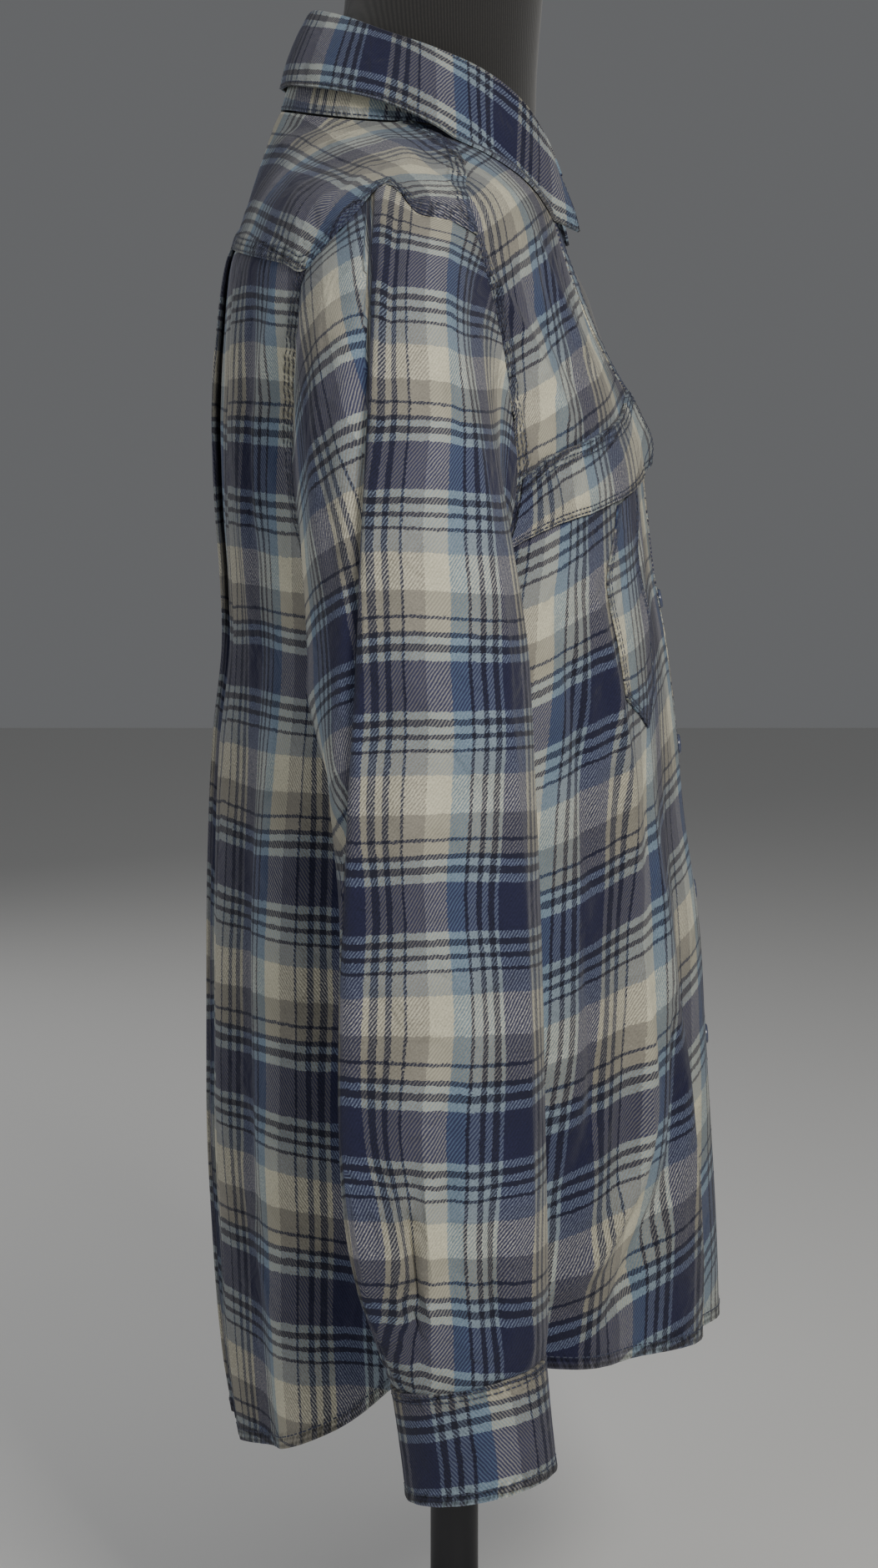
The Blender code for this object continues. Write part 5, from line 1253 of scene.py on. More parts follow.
for side in ("right", "left"):
    panel = front_mid[side]
    pocket = lay_on(panel, pocket_places[..., 0], pocket_places[..., 1],
                    np.full(pocket_places.shape[:2], POCKET_LIFT), DOWN, ACROSS)
    edges = np.minimum.reduce([away_from(pocket, edge)[0] for edge in ("left", "right", "bottom")])
    relief = (0.16 * waves(away_from(pocket, "left")[1], (1, 1.4, 0)) * bell(edges, 2.5, 3.0)
              - 0.35 * bell(edges, 1.6, 0.8) + 0.5 * ease((edges - 4.0) / 8.0))
    pocket = raised(pocket, relief)
    row, column = np.round(pocket_places * np.array([DOWN, ACROSS])).astype(int).transpose(2, 0, 1)
    pocket_grain = refine(front_grain[row, column][::9, ::5], 9, 5)
    flap = lay_on(panel, flap_places[..., 0], flap_places[..., 1], flap_places[..., 2], DOWN, ACROSS)
    low_away, low_run = away_from(flap, "bottom")
    top_away, top_run = away_from(flap, "top")
    relief = (0.25 * waves(low_run, (1, 2.0, 0), (0.6, 3.3, 0.8)) * bell(low_away, 2.0, 4.0)
              + 0.3 * waves(top_run, (1, 1.7, 0), (0.6, 2.7, 0)) * bell(top_away, 4.0, 4.0)
              + 0.9 * waves(low_run, (1, 23.0, 0.6)) * bell(low_away, 0, 12.0))
    worn = bell(low_away, 0, 1.6) + 0.8 * bell(away_from(flap, "right")[0], 0, 1.6)
    flap = raised(flap, relief)
    flap_flat = np.stack([top_run, -top_away], axis=-1)
    flap_grain = flap_flat @ lean_turn + np.array([12.0, 88.0])
    pocket, pocket_grain = on_side(side, pocket, pocket_grain)
    flap, flap_grain = on_side(side, flap, flap_grain)
    if side == "left":
        worn = worn[:, ::-1]
    pocket_piece = cloth_wall("pocket_flannel_" + side, "pocket_" + side, pocket, CLOTH,
                              pocket_grain + np.array([26.0, 31.0]),
                              seams={"left": EDGE_SEAM, "right": EDGE_SEAM, "bottom": EDGE_SEAM})
    # a left piece is mirrored, so its end at the band is its left edge
    flap_piece = cloth_wall("flap_flannel_" + side, "flap_" + side, flap, FLAP_WALL, flap_grain, worn=worn,
                            seams={"top": 7.6, "bottom": 4.0, side: 4.0})
    rows = [inset_line(pocket, edge, inset, ONE_LAYER)
            for edge in ("left", "right", "bottom") for inset in (1.4, 4.2)]
    pocket_sewing = sew("pocket_sewing_" + side, rows)
    rows = [inset_line(flap, "top", inset, FLAP_WALL / 2 - 0.05) for inset in (1.4, 4.4, 7.4)]
    rows += [inset_line(flap, edge, inset, FLAP_WALL / 2 - 0.05)
             for edge in ("bottom", side) for inset in (1.5, 4.5)]
    flap_sewing = sew("flap_sewing_" + side, rows)
    pocket_flat = np.stack([away_from(pocket, "left")[0], away_from(pocket, "top")[0]], axis=-1)

# ================================================================ sleeves
# One layer each, set into the armhole under the body's triple stitching, hanging down with a
# sharp crease behind the outer face, a wing of cloth at the back and two pleats at the cuff.
SLEEVE_RINGS = [  # height, then sideways distance and y at eight stations round the sleeve
    (582, (296, -24), (303, 14), (298, 50), (270, 67),
     (235, 76), (224, 32), (228, -15), (262, -38)),
    (536, (297, -28), (304, 12), (300, 53), (273, 64),
     (238, 64), (226, 26), (230, -20), (264, -40)),
    (488, (297, -31), (305, 11), (300, 55), (275, 60),
     (241, 55), (229, 18), (232, -24), (265, -42)),
    (435, (298, -33), (306, 11), (300, 56), (275, 58),
     (242, 51), (231, 14), (233, -26), (266, -43.5)),
    (380, (299, -34), (307, 11), (301, 56.5), (276, 57.5),
     (243, 49), (232, 12), (234, -28), (267, -44.5)),
    (330, (299, -35), (308, 9), (302, 53.5), (277, 55),
     (244, 46), (233, 10), (235, -29), (267, -45.5)),
    (292, (299, -35.5), (308.5, 6), (300, 46), (276, 49.5),
     (244, 41), (234, 6), (236, -30), (268, -46)),
    (268, (298, -35.5), (308, 2), (296, 36), (271, 42),
     (243, 31), (233, 0), (238, -31), (269, -46)),
]
STATION_SHARE = (0.0, 0.15, 0.31, 0.42, 0.53, 0.68, 0.83, 0.92)
COLUMN_SHARE = (0.0, 0.10, 0.20, 0.31, 0.36, 0.405, 0.445, 0.475, 0.505, 0.535, 0.57, 0.605, 0.64,
                0.672, 0.705, 0.745, 0.782, 0.815, 0.845, 0.873, 0.9, 0.925, 0.95, 0.975)
CUFF_CENTRE = (269.5, -6.0, 246.0)   # sideways distance, y and height of the middle of its top
CUFF_RADII = (37.0, 39.5)
CUFF_TILT = 11.0                     # degrees, the front edge higher
CUFF_TAPER = 0.97
CUFF_HEIGHT = 57.0
SLEEVE_DOWN, SLEEVE_ACROSS = 9, 6


def ring_at(row):
    """One level ring of the sleeve at its columns."""
    stations = [(share + turn, o, y) for turn in (-1.0, 0.0, 1.0)
                for share, (o, y) in zip(STATION_SHARE, row[1:])]
    # three stations before and after the round are enough to smooth it
    o, y = smooth_columns(stations[5:-5], np.array(COLUMN_SHARE))
    return np.stack([-o, y, np.full(len(o), row[0])], axis=1)


def cuff_point(turn, down, inset=0.0):
    """A point of the cuff: turn in radians round it, down its tilted axis in millimetres."""
    shrink = 1 + (CUFF_TAPER - 1) * down / CUFF_HEIGHT
    o = (CUFF_RADII[0] - inset) * shrink * math.cos(turn)
    y = (CUFF_RADII[1] - inset) * shrink * math.sin(turn)
    tilt = math.radians(CUFF_TILT)
    return np.array([-(CUFF_CENTRE[0] + o), CUFF_CENTRE[1] + y * math.cos(tilt) - down * math.sin(tilt) * 0.6,
                     CUFF_CENTRE[2] - y * math.sin(tilt) - down * math.cos(tilt)])


def square_to(ways, *others):
    """Directions with their parts along other directions taken out."""
    for other in others:
        ways = ways - other * np.sum(ways * other, axis=1, keepdims=True)
    return unit(ways)


def leave_edge(rim, toward_hole, leave):
    """Where the sleeve's wall starts, sewn along the rim of the armhole."""
    rim_way = unit(np.roll(rim, -1, axis=0) - np.roll(rim, 1, axis=0))
    normal = square_to(hull_depth(rim, SHIRT)[1], rim_way)
    away = square_to(toward_hole, rim_way, normal)
    along = np.sum(leave * away, axis=1)
    out = np.maximum(np.sum(leave * normal, axis=1), 0.0)
    size = np.hypot(along, out)
    along = along / size
    out = out / size
    reach = 0.35 + 0.6 * out
    # where the wall turns back over the body it starts on top of the body's cloth
    over = np.where(along < 0, np.maximum(0.95 - 0.6 * along - reach * out, 0.0), 0.0)
    flat = away * along[:, None] + normal * out[:, None]
    return rim + flat * reach[:, None] + normal * over[:, None]


# the armhole's edges on the yoke, the back and the front, and the next points inside them
back_rim, back_next = [halves[0][1::DOWN, k][1:9] for k in (0, 4)]
front_rim, front_next = [front_mid["right"][::DOWN, k][1:ARM_ROWS - 1][::-1] for k in (0, ACROSS)]
armhole_ring = np.concatenate([yoke_mid[-1, :ARM_COLUMNS:FINE], back_rim, front_rim])
armhole_inner = np.concatenate([yoke_mid[-1 - FINE, :ARM_COLUMNS:FINE], back_next, front_next])
first_level = ring_at(SLEEVE_RINGS[0])
fall = (armhole_ring[:, 2].max() - armhole_ring[:, 2]) / np.ptp(armhole_ring[:, 2])
drawn_back = 0.42 * ease((16.0 - armhole_ring[:, 1]) / 30.0)
leave = unit(np.stack([-np.ones(len(fall)), drawn_back, -0.45 - 0.75 * fall], axis=1))
sleeve_start = leave_edge(armhole_ring, armhole_ring - armhole_inner, leave)
# the cap runs out along the shoulder and bends down into the first level ring
reach = np.linalg.norm(first_level - sleeve_start, axis=1)
start_pull = leave * (reach * (0.85 - 0.25 * fall))[:, None]
end_pull = np.array([0.0, 0.0, -1.0]) * (reach * 0.9)[:, None]
sleeve_rows = [(2 * t ** 3 - 3 * t ** 2 + 1) * sleeve_start + (t ** 3 - 2 * t ** 2 + t) * start_pull
               + (-2 * t ** 3 + 3 * t ** 2) * first_level + (t ** 3 - t ** 2) * end_pull
               for t in (0.0, 0.1, 0.23, 0.38, 0.54, 0.7, 0.85)]
sleeve_rows += [ring_at(row) for row in SLEEVE_RINGS]
# the two pleats over the cuff
for ring, depth in ((sleeve_rows[-1], 3.5), (sleeve_rows[-2], 3.0), (sleeve_rows[-3], 1.5)):
    centre = ring.mean(axis=0)
    for k, share in ((1, 0.3), (2, -1.0), (3, 0.6), (4, -0.8), (5, 0.4)):
        ring[k] += unit(ring[k] - centre) * depth * share
last = sleeve_rows[-1]
turns = np.arctan2((last[:, 1] - CUFF_CENTRE[1]) / CUFF_RADII[1],
                   (-last[:, 0] - CUFF_CENTRE[0]) / CUFF_RADII[0])
sleeve_rows.append(np.array([cuff_point(turn, -0.6) for turn in turns]))
sleeve_mid = refine(np.array(sleeve_rows), SLEEVE_DOWN, SLEEVE_ACROSS, closed=True)
MAIN_CREASE = [(848, 41.3), (794, 42.6), (734, 44.6), (680, 47.5), (607, 50), (533, 53.5), (455, 55),
               (377, 55.5), (333, 50), (272, 41), (246, 35)]  # height, y
SLEEVE_CREASES_OUTER = [  # seen from outside: y and height
    ([(y - 4, z) for z, y in MAIN_CREASE], 2.8, 4.5),
    ([(y + 4, z) for z, y in MAIN_CREASE[:7]], -5.5, 3.6),
    ([(66, 812), (70, 750), (72, 690), (68, 640)], 2.4, 7),
    ([(60, 800), (58, 740), (61, 680)], 1.8, 5),
    ([(77, 780), (79, 720), (78, 660)], -2, 5),
    ([(30, 842), (32, 800), (34, 750)], -2, 5.5),
    ([(8, 820), (10, 740), (7, 660), (9, 580)], 1.5, 8),
    ([(-14, 790), (-12, 700), (-16, 600), (-15, 480)], 1.6, 7),
    ([(-2, 780), (-3, 690), (-4, 600)], -1.4, 7),
    ([(26, 700), (24, 600), (27, 480), (25, 360)], 1.3, 9),
    ([(-6, 520), (-4, 430), (-7, 340), (-9, 270)], 1.8, 8),
    ([(3, 440), (4, 370), (2, 300), (4, 256)], -3.4, 6),
    ([(34, 385), (31, 320), (26, 255)], 4.6, 5),
    ([(25, 365), (22, 305), (20, 256)], -7, 4.5),
    ([(13, 380), (13.5, 310), (13, 258)], 4, 5),
    ([(-20, 350), (-19, 300), (-18, 262)], -4, 5),
    ([(-27, 350), (-27, 300), (-26, 264)], 2.2, 5),
]
SLEEVE_CREASES_INNER = [
    ([(-20, 620), (-10, 540), (-14, 440)], 2.4, 8),
    ([(10, 600), (16, 500), (12, 400), (14, 300)], -2.6, 8),
    ([(38, 560), (34, 460), (36, 360), (28, 270)], 2.6, 8),
    ([(-4, 380), (-6, 320), (-3, 265)], 2.4, 6),
]
sleeve_out = -grid_normals(sleeve_mid, True)
facing_out = ease((-sleeve_out[..., 0] + 0.15) / 0.5)
facing_in = ease((sleeve_out[..., 0] - 0.1) / 0.5)
sleeve_relief = (crease_rise(sleeve_mid[..., 1:], SLEEVE_CREASES_OUTER) * facing_out
                 + crease_rise(sleeve_mid[..., 1:], SLEEVE_CREASES_INNER) * facing_in)
cap_away = run_along(sleeve_mid)
low_away = cap_away[-1] - cap_away
cap_ripple = waves(run_along(sleeve_mid[0]), (1, 2.0, 0), (0.7, 3.3, 1.0), (0.5, 1.3, 0))
low_ripple = waves(run_along(sleeve_mid[-1]), (1, 1.9, 0))
sleeve_relief = sleeve_relief * ease(cap_away / 14.0) + 0.22 * cap_ripple * bell(cap_away, 3.0, 6.0)
sleeve_relief = sleeve_relief * ease(low_away / 6.0) + 0.3 * low_ripple * bell(low_away, 3.0, 6.0)
sleeve_form = sleeve_mid + sleeve_out * sleeve_relief[..., None]
# the first row runs on under the body's edge, and the last ones inside the cuff
top, low = sleeve_form[0], sleeve_form[-1]
under_edge = top + unit(top - sleeve_form[1]) * 2.5 - hull_depth(top, SHIRT)[1] * 1.6
to_axis = unit(low.mean(axis=0) - low)
in_cuff = low + unit(low - sleeve_form[-2]) * 5.0 + to_axis * 1.8
sleeve_fine = np.concatenate([under_edge[None], sleeve_form[:-1], (low + to_axis * 1.1)[None], in_cuff[None]])
# the cloth's coordinates start on the outer face, and the sleeve is closed under the arm
UNDERARM = 14 * SLEEVE_ACROSS
sleeve_fine = np.roll(sleeve_fine, -UNDERARM, axis=1)
OUTER_FACE = SLEEVE_ACROSS - UNDERARM + sleeve_fine.shape[1]
LEVEL_ROW = 1 + 7 * SLEEVE_DOWN          # the first level ring
whole = np.concatenate([sleeve_fine, sleeve_fine[:, :1]], axis=1)
around = run_along(whole.swapaxes(0, 1)).T
down_run = run_along(whole)
sleeve_weft = whole[LEVEL_ROW, :, 2] + down_run[LEVEL_ROW] - down_run
sleeve_warp = (around[:, OUTER_FACE] - whole[:, OUTER_FACE, 1])[:, None] - around
# behind the main crease the cloth is drawn round to the back: its threads run with the wing's
# own edge, and the difference is tucked into the crease
OUTER_WARP, REAR_WARP = 66.8, 44.0       # places in the chart
NEW_REPEAT = 718.0                       # height at which a repeat of the chart begins
TURNED_WEFT = math.tan(math.radians(21.0))
plain = np.roll(np.concatenate([sleeve_mid[:1], sleeve_mid, sleeve_mid[-1:]]), -UNDERARM, axis=1)
level = plain[:, OUTER_FACE, 2]
rear_face = OUTER_FACE + 8 * SLEEVE_ACROSS
rear_at = rear_face % plain.shape[1] - 6 * SLEEVE_ACROSS * ease((575.0 - level) / 90.0)
columns = np.arange(whole.shape[1])
crease_at = np.zeros((len(whole), 1))
rear_run = np.zeros((len(whole), 1))
for i, y in enumerate(smooth_columns(MAIN_CREASE, level)[0]):
    between = slice(OUTER_FACE, int(rear_at[i]) + 1)
    crease_at[i] = np.interp(y, plain[i, between, 1], columns[between])
    rear_run[i] = np.interp(rear_at[i], columns, around[i])
wing = rear_run - around
behind = ease((columns - crease_at) / 1.6 - 0.4)
wing_weft = sleeve_weft - np.maximum(wing, 0.0) * TURNED_WEFT * ease((level[:, None] - 480.0) / 60.0)
sleeve_grain = np.stack([(sleeve_warp + OUTER_WARP) * (1 - behind) + (wing + REAR_WARP) * behind,
                         sleeve_weft * (1 - behind) + wing_weft * behind - NEW_REPEAT], axis=-1)
for side in ("right", "left"):
    points, grain = on_side(side, sleeve_fine, sleeve_grain)
    if side == "left":
        points = np.roll(points, 1, axis=1)
    sleeve = cloth_wall("sleeve_flannel_" + side, "sleeve_" + side, points, CLOTH, grain, closed=True,
                        seams={"top": 2.0})

# ================================================================ sleeve plackets
# A narrow single strip over the slit above each cuff's opening, stitched along both edges; its
# lower end meets the cuff.
PLACKET_LIFT = 1.5
# the rows and columns of the sleeve's table that it covers
placket_rows, placket_columns = np.meshgrid(np.linspace(11.0, 14.9, 40), np.linspace(8.1, 9.9, 12),
                                            indexing="ij")
placket = lay_on(sleeve_form, placket_rows, placket_columns, np.full(placket_rows.shape, PLACKET_LIFT),
                 SLEEVE_DOWN, SLEEVE_ACROSS, closed=True)
placket_grain = np.stack([away_from(placket, "left")[0] + 40.0, 30.0 - away_from(placket, "top")[0]], axis=-1)
forearm_middle = sleeve_mid[13 * SLEEVE_DOWN].mean(axis=0)
LEVEL = np.array([1.0, 1.0, 0.0])


def round_rows(grid, insets, middle, lift, flip):
    """Rows of sewing on a piece round the sleeve, facing level away from its middle."""
    rows = []
    for edge, inset in insets:
        line, _ = inset_line(grid, edge, inset, 0.0)
        way = unit((line - middle) * LEVEL)
        rows.append((line + way * lift, way))
    return flipped(rows, flip)


for side, flip in SIDES.items():
    points, _ = on_side(side, placket, placket_grain)
    piece = cloth_wall("placket_flannel_" + side, "placket_" + side, points, CLOTH, placket_grain,
                       seams={"left": 2.0, "right": 2.0})
    rows = round_rows(placket, (("left", 1.6), ("right", 1.6)), forearm_middle, CLOTH / 2, flip)
    sew("placket_sewing_" + side, rows)

# ================================================================ cuffs
# A double band with interlining round the end of each sleeve, its ends lapped at the opening,
# edge-stitched all round.
CUFF_OPENING = math.radians(125.0)       # turn round the cuff where it starts
CUFF_LAP = 0.55                          # radians that its ends overlap
CUFF_ROWS, CUFF_COLUMNS = 21, 141
cuff = np.zeros((CUFF_ROWS, CUFF_COLUMNS, 3))
for j, along in enumerate(np.linspace(0, 2 * math.pi + CUFF_LAP, CUFF_COLUMNS)):
    # the end underneath lies nearer to the wrist
    inset = 2.9 * (1 - ease((along - CUFF_LAP * 0.9) / 0.8))
    for i, down in enumerate(np.linspace(0, CUFF_HEIGHT, CUFF_ROWS)):
        cuff[i, j] = cuff_point(CUFF_OPENING + along, down, float(inset))
cuff_axis = cuff.mean(axis=1)
cuff_out = unit((cuff - cuff_axis[:, None]) * LEVEL)
top_away, top_run = away_from(cuff, "top")
low_away = away_from(cuff, "bottom")[0]
ripple = 0.2 * waves(top_run, (1, 2.0, 0), (0.6, 3.1, 0))
cuff_relief = (ripple * (bell(top_away, 3.0, 3.5) + bell(low_away, 3.0, 3.5))
               - 0.3 * bell(top_away, 1.8, 0.9) - 0.3 * bell(low_away, 5.0, 0.9)
               + waves(top_run, (0.5, 19.0, 0.5)) * np.sin(np.pi * top_away / CUFF_HEIGHT)
               + 0.4 * bell(low_away, 1.0, 2.0))
cuff = cuff + cuff_out * cuff_relief[..., None]
cuff_grain = np.stack([top_run + 5.0, 24.0 - top_away], axis=-1)
for side, flip in SIDES.items():
    points, grain = on_side(side, cuff, cuff_grain)
    piece = cloth_wall("cuff_flannel_" + side, "cuff_" + side, points, DOUBLE, grain,
                       worn=bell(low_away, 0, 1.6), seams={"top": 4.0, "bottom": 5.4})
    rows = round_rows(cuff, (("top", 1.6), ("top", 4.4), ("bottom", 5.2)), cuff_axis.mean(axis=0), DOUBLE / 2,
                      flip)
    sew("cuff_sewing_" + side, rows)

# ================================================================ collar
# A double stand on the neck edge, and a double leaf sewn to its top that folds over it and falls
# to its two points; both have interlining and a row of sewing near the edge.
# share of the half collar, sideways distance, y and height
COLLAR_FOLD = [(0, 0, 84, 966), (0.12, 27, 80, 965), (0.25, 50, 63, 959),
               (0.38, 67, 40, 949), (0.5, 76, 12, 938.5), (0.63, 79.5, -15, 926),
               (0.76, 78, -37, 909), (0.88, 73, -51, 888), (1, 66, -60, 868)]
COLLAR_EDGE = [(0, 0, 102, 922.5), (0.12, 37, 96, 921), (0.25, 70, 75, 916.5),
               (0.38, 93, 44, 908), (0.5, 105, 12, 893), (0.63, 107, -13, 875),
               (0.76, 102, -33, 857.5), (0.88, 92, -53, 842), (1, 79, -70, 834.5)]
COLLAR_HALF = 73
STAND_HEIGHT = 31.0
neck_line = np.concatenate([yoke_mid[0, ::-1], front_mid["right"][1:2 * DOWN + 1, -1],
                            band_mid["right"][0, 1:]])
shares = np.linspace(0, 1, COLLAR_HALF)
fold, edge = [np.array(smooth_columns(table, shares)).T * MIRROR for table in (COLLAR_FOLD, COLLAR_EDGE)]
# the foot of the stand is shared out along the neck edge as the fold above it is round the neck
neck_turn, fold_turn = [np.degrees(np.arctan2(line[:, 1] - 25.0, -line[:, 0])) for line in (neck_line, fold)]
foot_turn = 90.0 - (90.0 - fold_turn) * (90.0 - neck_turn[-1]) / (90.0 - fold_turn[-1])
order = np.argsort(neck_turn)
foot_line = np.stack([np.interp(foot_turn, neck_turn[order], neck_line[order, k]) for k in range(3)], axis=1)
rise = unit(fold - foot_line)
rise_length = np.linalg.norm(fold - foot_line, axis=1, keepdims=True)
stand_share = 0.5 - 0.18 * ease((shares - 0.75) / 0.25)[:, None]
stand_foot = foot_line + rise * 1.6
stand_top = stand_foot + rise * np.minimum(STAND_HEIGHT, stand_share * rise_length)
stand = np.array([stand_foot + (stand_top - stand_foot) * t for t in np.linspace(0, 1, 13)])
stand = push_clear(stand, FORM, 2.6)


def both_sides(right_half):
    """Columns of both sides from those of the right half, centre first."""
    return np.concatenate([right_half[:, :0:-1] * MIRROR, right_half], axis=1)


stand_grid = both_sides(stand)
stand_down, stand_run = away_from(stand_grid, "top")
stand_grain = np.stack([stand_run + 20.0, 60.0 - stand_down], axis=-1)
stand_piece = cloth_wall("collar_stand_flannel", "collar_stand", stand_grid, DOUBLE, stand_grain,
                         seams={"top": 3.0})
stand_sewing = sew("collar_stand_sewing", [inset_line(stand_grid, "top", 1.8, TWO_LAYERS)])

# the leaf rises from the stand, rolls over the fold and falls to its edge in a soft bow
fall_way = unit(edge - fold)
crown = unit(rise - fall_way)
across = unit(rise + fall_way)
leaf_gap = 0.4 + 0.9 * ease((shares - 0.7) / 0.3)
inner_drop = 3.0 - 1.2 * ease((shares - 0.85) / 0.15)[:, None]
leaf_rows = [stand[-1] + rise * leaf_gap[:, None]]
for drop, aside in ((inner_drop, -1.5), (0.7, -0.9), (0.7, 0.9), (3.0, 1.5)):
    leaf_rows.append(fold - crown * drop + across * aside)
under = leaf_rows[-1]
for t in (0.3, 0.65, 1.0):
    leaf_rows.append(under + (edge - under) * t + across * 1.8 * math.sin(math.pi * t))
LEAF_DOWN = 6                            # fine rows to one of these
leaf = refine(np.array(leaf_rows), LEAF_DOWN, 1)
low = leaf[5 * LEAF_DOWN:]
leaf[5 * LEAF_DOWN:] = np.where(low[..., 2:] < NECK_BACK, push_clear(low, SHIRT, 2.1), low)
leaf_grid = both_sides(leaf)
low_away, low_run = away_from(leaf_grid, "bottom")
leaf_relief = (0.16 * waves(low_run, (1, 2.1, 0), (0.6, 3.3, 0)) * bell(low_away, 2.5, 3.0)
               - 0.3 * bell(low_away, 2.2, 0.9))
leaf_grid = leaf_grid + grid_normals(leaf_grid) * leaf_relief[..., None]
leaf_grain = np.stack([low_run - 8.0, low_away - 39.0], axis=-1)
# rubbed pale along its edge and on the fold
leaf_worn = bell(low_away, 0, 1.5) + 0.5 * bell(np.arange(len(leaf_grid))[:, None], 2.5 * LEAF_DOWN, 2.5)
leaf_piece = cloth_wall("collar_leaf_flannel", "collar_leaf", leaf_grid, DOUBLE, leaf_grain, worn=leaf_worn,
                        seams={"bottom": 2.6})
leaf_sewing = sew("collar_leaf_sewing", [inset_line(leaf_grid[4 * LEAF_DOWN:], side, 2.4, TWO_LAYERS)
                                         for side in ("bottom", "left", "right")])

# ================================================================ buttons
# Moulded plastic with a raised rim and four holes, sewn on with dark thread: five down the
# front, one on the band that lies open, one on each cuff.
# polyester button stock: clouded navy, polished on the rim
button_plastic, tree, shader = new_material("clouded_polyester_button")
place = add_node(tree, "ShaderNodeTexCoord").outputs["Object"]
cloud = noise(tree, place, 260.0, 3.0, distortion=1.5)
tree.links.new(two_tones(tree, cloud.outputs["Fac"], "262b40", "59617a"), shader.inputs["Base Color"])
shader.inputs["Roughness"].default_value = 0.3
shader.inputs["IOR"].default_value = 1.55
shader.inputs["Coat Weight"].default_value = 0.25


def closed_rings(rings, sides, first=0):
    """Quads between rings of points, and one face over each end."""
    faces = []
    for i in range(rings - 1):
        for k in range(sides):
            a = first + i * sides + k
            b = first + i * sides + (k + 1) % sides
            faces.append([a, b, b + sides, a + sides])
    low = [first + k for k in range(sides)]
    return faces + [low[::-1], [k + (rings - 1) * sides for k in low]]


def loose_object(name, points, faces):
    """An object of plain points and faces."""
    mesh = bpy.data.meshes.new(name)
    mesh.from_pydata(points, [], faces)
    item = bpy.data.objects.new(name, mesh)
    bpy.context.scene.collection.objects.link(item)
    return item


# radii and heights of half a button's section, from its back round the rim to its face
BUTTON_PROFILE = [(0.02, 0.0), (4.2, 0.0), (5.2, 0.35), (5.7, 1.0), (5.7, 1.7), (5.45, 2.2), (4.95, 2.4),
                  (4.4, 2.3), (3.9, 1.95), (3.4, 1.7), (0.02, 1.62)]
BUTTON_SIDES, HOLE_SIDES, STRAND_SIDES = 48, 16, 8
HOLE_OFF, HOLE_RADIUS = 1.15, 0.62
STRAND_RADIUS, STRAND_STEPS = 0.23, 13


def make_button(name, centre, normal):
    """A four-hole button lying at the centre, facing along the normal, with its thread."""
    normal = unit(normal)
    side = unit(np.cross(normal, np.array([0.3, 0.2, 1.0])))
    other = np.cross(normal, side)
    turned_points = [spot for r, z in BUTTON_PROFILE for spot in level_circle(BUTTON_SIDES, r, z)]
    blank = loose_object(name + "_blank", turned_points, closed_rings(len(BUTTON_PROFILE), BUTTON_SIDES))
    holes = []
    drills = []
    for x, y in ((1, 1), (-1, 1), (-1, -1), (1, -1)):
        drills += closed_rings(2, HOLE_SIDES, len(holes))
        for z in (-1.0, 4.0):
            holes += level_circle(HOLE_SIDES, HOLE_RADIUS, z, x * HOLE_OFF, y * HOLE_OFF)
    drill = loose_object(name + "_drill", holes, drills)
    cut = blank.modifiers.new("holes", "BOOLEAN")
    cut.operation = "DIFFERENCE"
    cut.object = drill
    cut.solver = "EXACT"
    drilled = bpy.data.meshes.new_from_object(blank.evaluated_get(bpy.context.evaluated_depsgraph_get()))
    spots = np.array([v.co[:] for v in drilled.vertices])
    shapes = [list(p.vertices) for p in drilled.polygons]
    for item in (blank, drill):
        bpy.data.objects.remove(item, do_unlink=True)
    spots = centre + spots[:, :1] * side + spots[:, 1:2] * other + spots[:, 2:] * normal
    belongs(add_piece(name + "_plastic", spots, shapes, button_plastic, sharp=30.0), name)
    # two bars of thread from hole to hole, of two strands each
    t = np.linspace(0, 1, STRAND_STEPS)
    reach = (t * 2 - 1) * 1.2
    lift = 1.15 + 0.95 * np.sin(np.pi * t) ** 0.5
    tubes = []
    shapes = []
    for bar in (HOLE_OFF, -HOLE_OFF):
        for shift in (-0.24, 0.24):
            path = centre + reach[:, None] * side + (bar + shift) * other + lift[:, None] * normal
            way = unit(np.gradient(path, axis=0))
            wide = unit(np.cross(way, normal))
            shapes += closed_rings(STRAND_STEPS, STRAND_SIDES, len(tubes))
            for spot, w, h in zip(path, wide, np.cross(wide, way)):
                tubes += [spot + w * x + h * y for x, y, _ in level_circle(STRAND_SIDES, STRAND_RADIUS, 0.0)]
    belongs(add_piece(name + "_thread", tubes, shapes, thread))


def on_band(side, height, gap):
    """The place of a button over a band's middle line, and the way out of the band."""
    panel = band_mid[side]
    row = np.array([[np.interp(-height, -panel[:, BAND_MIDDLE, 2], np.arange(len(panel)))]])
    column = np.array([[float(BAND_MIDDLE)]])
    core, spot = [lay_on(panel, row, column, np.array([[lift]]), 1, 1)[0, 0]
                  for lift in (0.0, DOUBLE / 2 + gap)]
    return spot, spot - core


FIRST_BUTTON, BUTTON_PITCH = 708.0, 85.0
for k in range(5):
    # the first one is pulled, and stands off farther
    spot, way = on_band("right", FIRST_BUTTON - BUTTON_PITCH * k, 1.1 if k == 0 else 0.4)
    make_button("front_button_%d" % (k + 1), spot, way)
spot, way = on_band("left", FIRST_BUTTON + BUTTON_PITCH, 0.35)
make_button("band_button", spot * MIRROR, way * MIRROR)
lap_turn = CUFF_OPENING + 0.28
lap_point = cuff_point(lap_turn, CUFF_HEIGHT / 2)
lap_way = unit(lap_point - cuff_point(lap_turn, CUFF_HEIGHT / 2, 5.0))
seat = lap_point + lap_way * (DOUBLE / 2 + 0.6)
for side, flip in SIDES.items():
    make_button("cuff_button_" + side, seat * flip, lap_way * flip)

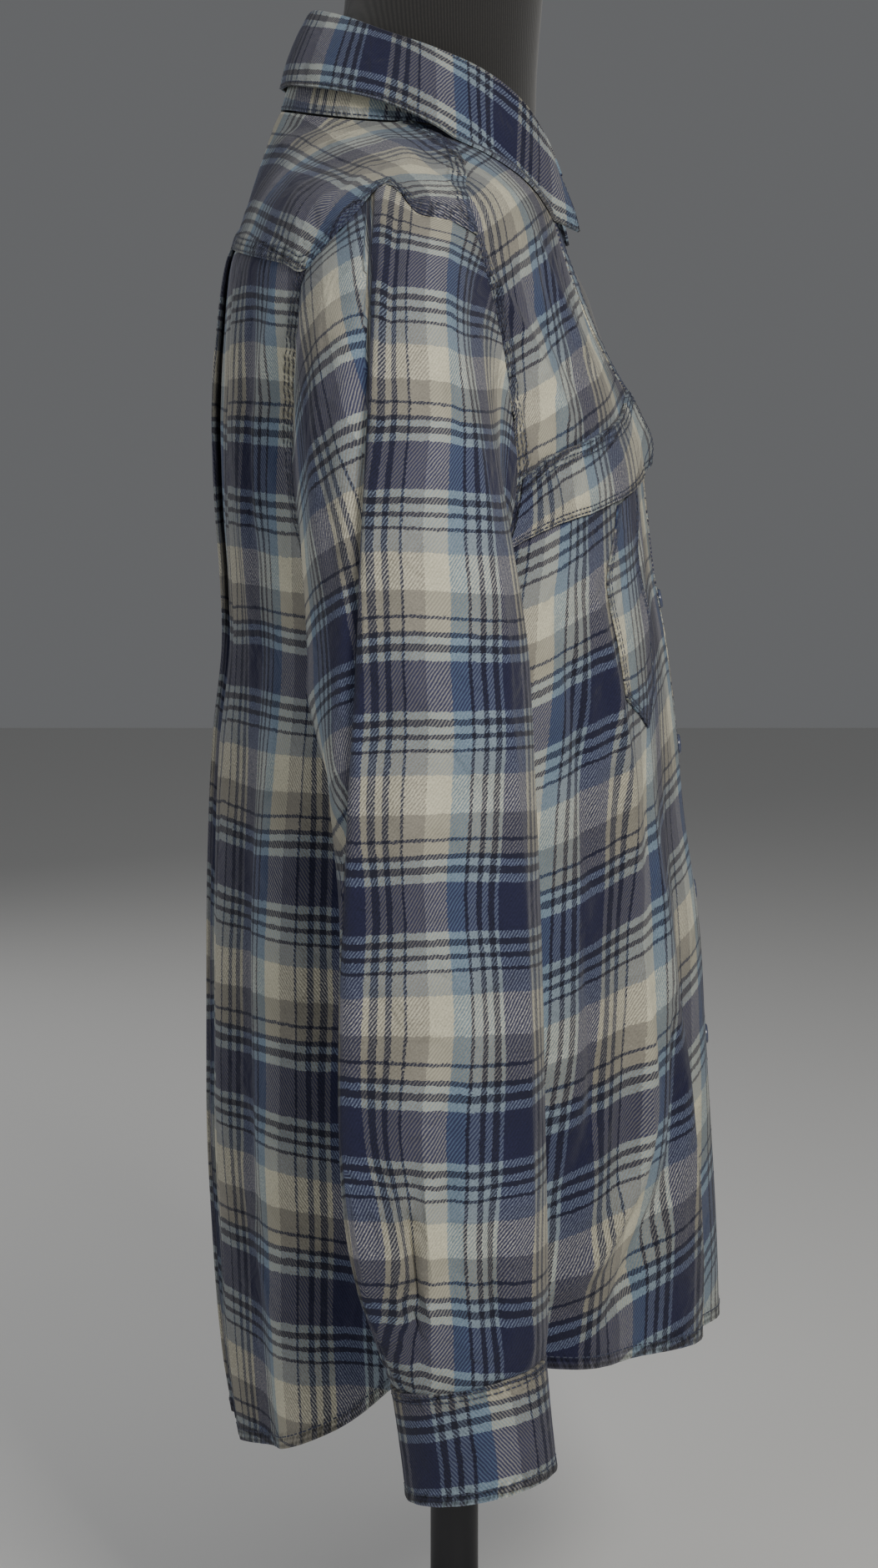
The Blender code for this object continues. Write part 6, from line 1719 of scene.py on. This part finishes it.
# ================================================================ camera, light and floor
# A level camera at the wearer's right side, soft studio light from the camera's side and above,
# and a plain pale floor.
camera_data = bpy.data.cameras.new("camera")
camera_data.sensor_fit = "VERTICAL"
camera_data.sensor_height = 36.0
camera_data.lens = 78.2
# the level camera's picture reaches farther down than up
camera_data.shift_y = -440.0 / 1880.0
camera_data.clip_end = 50.0
camera = bpy.data.objects.new("camera", camera_data)
camera.location = (-2.0, 0.009, 0.73)
camera.rotation_euler = (math.radians(90.0), 0.0, math.radians(-90.0))
bpy.context.scene.collection.objects.link(camera)
bpy.context.scene.camera = camera


def add_light(name, place, aim, size, power, colour="ffffff"):
    """A square soft light aimed at a point."""
    data = bpy.data.lights.new(name, "AREA")
    data.size = size
    data.energy = power
    data.color = linear(colour)[:3]
    lamp = bpy.data.objects.new(name, data)
    lamp.location = place
    way = np.array(aim) - np.array(place)
    yaw = math.atan2(way[1], way[0])
    pitch = math.atan2(way[2], math.hypot(way[0], way[1]))
    lamp.rotation_euler = (math.pi / 2 + pitch, 0.0, yaw - math.pi / 2)
    bpy.context.scene.collection.objects.link(lamp)


add_light("key", (-1.45, -0.5, 1.2), (0.0, 0.0, 0.85), 0.4, 21.5, "fffdf8")
add_light("fill", (-1.5, 1.8, 1.2), (0.0, 0.0, 0.55), 1.2, 11.0, "f2f6ff")
add_light("front", (0.4, -2.4, 1.4), (0.0, 0.0, 0.5), 1.4, 6.0)
add_light("rear", (1.9, 1.6, 1.6), (0.0, 0.0, 0.55), 1.6, 16.0)
add_light("top", (0.0, 0.0, 2.6), (0.0, 0.0, 0.5), 1.6, 5.0)
world = bpy.data.worlds.new("studio")
bpy.context.scene.world = world
world.use_nodes = True
world.node_tree.nodes["Background"].inputs["Color"].default_value = linear("dfe1e4")
world.node_tree.nodes["Background"].inputs["Strength"].default_value = 0.18

floor = loose_object("floor", [(-6, -6, 0), (6, -6, 0), (6, 6, 0), (-6, 6, 0)], [(0, 1, 2, 3)])
paper, tree, shader = new_material("matt_studio_paper")
shader.inputs["Base Color"].default_value = linear("e4e3e0")
shader.inputs["Roughness"].default_value = 0.9
floor.data.materials.append(paper)
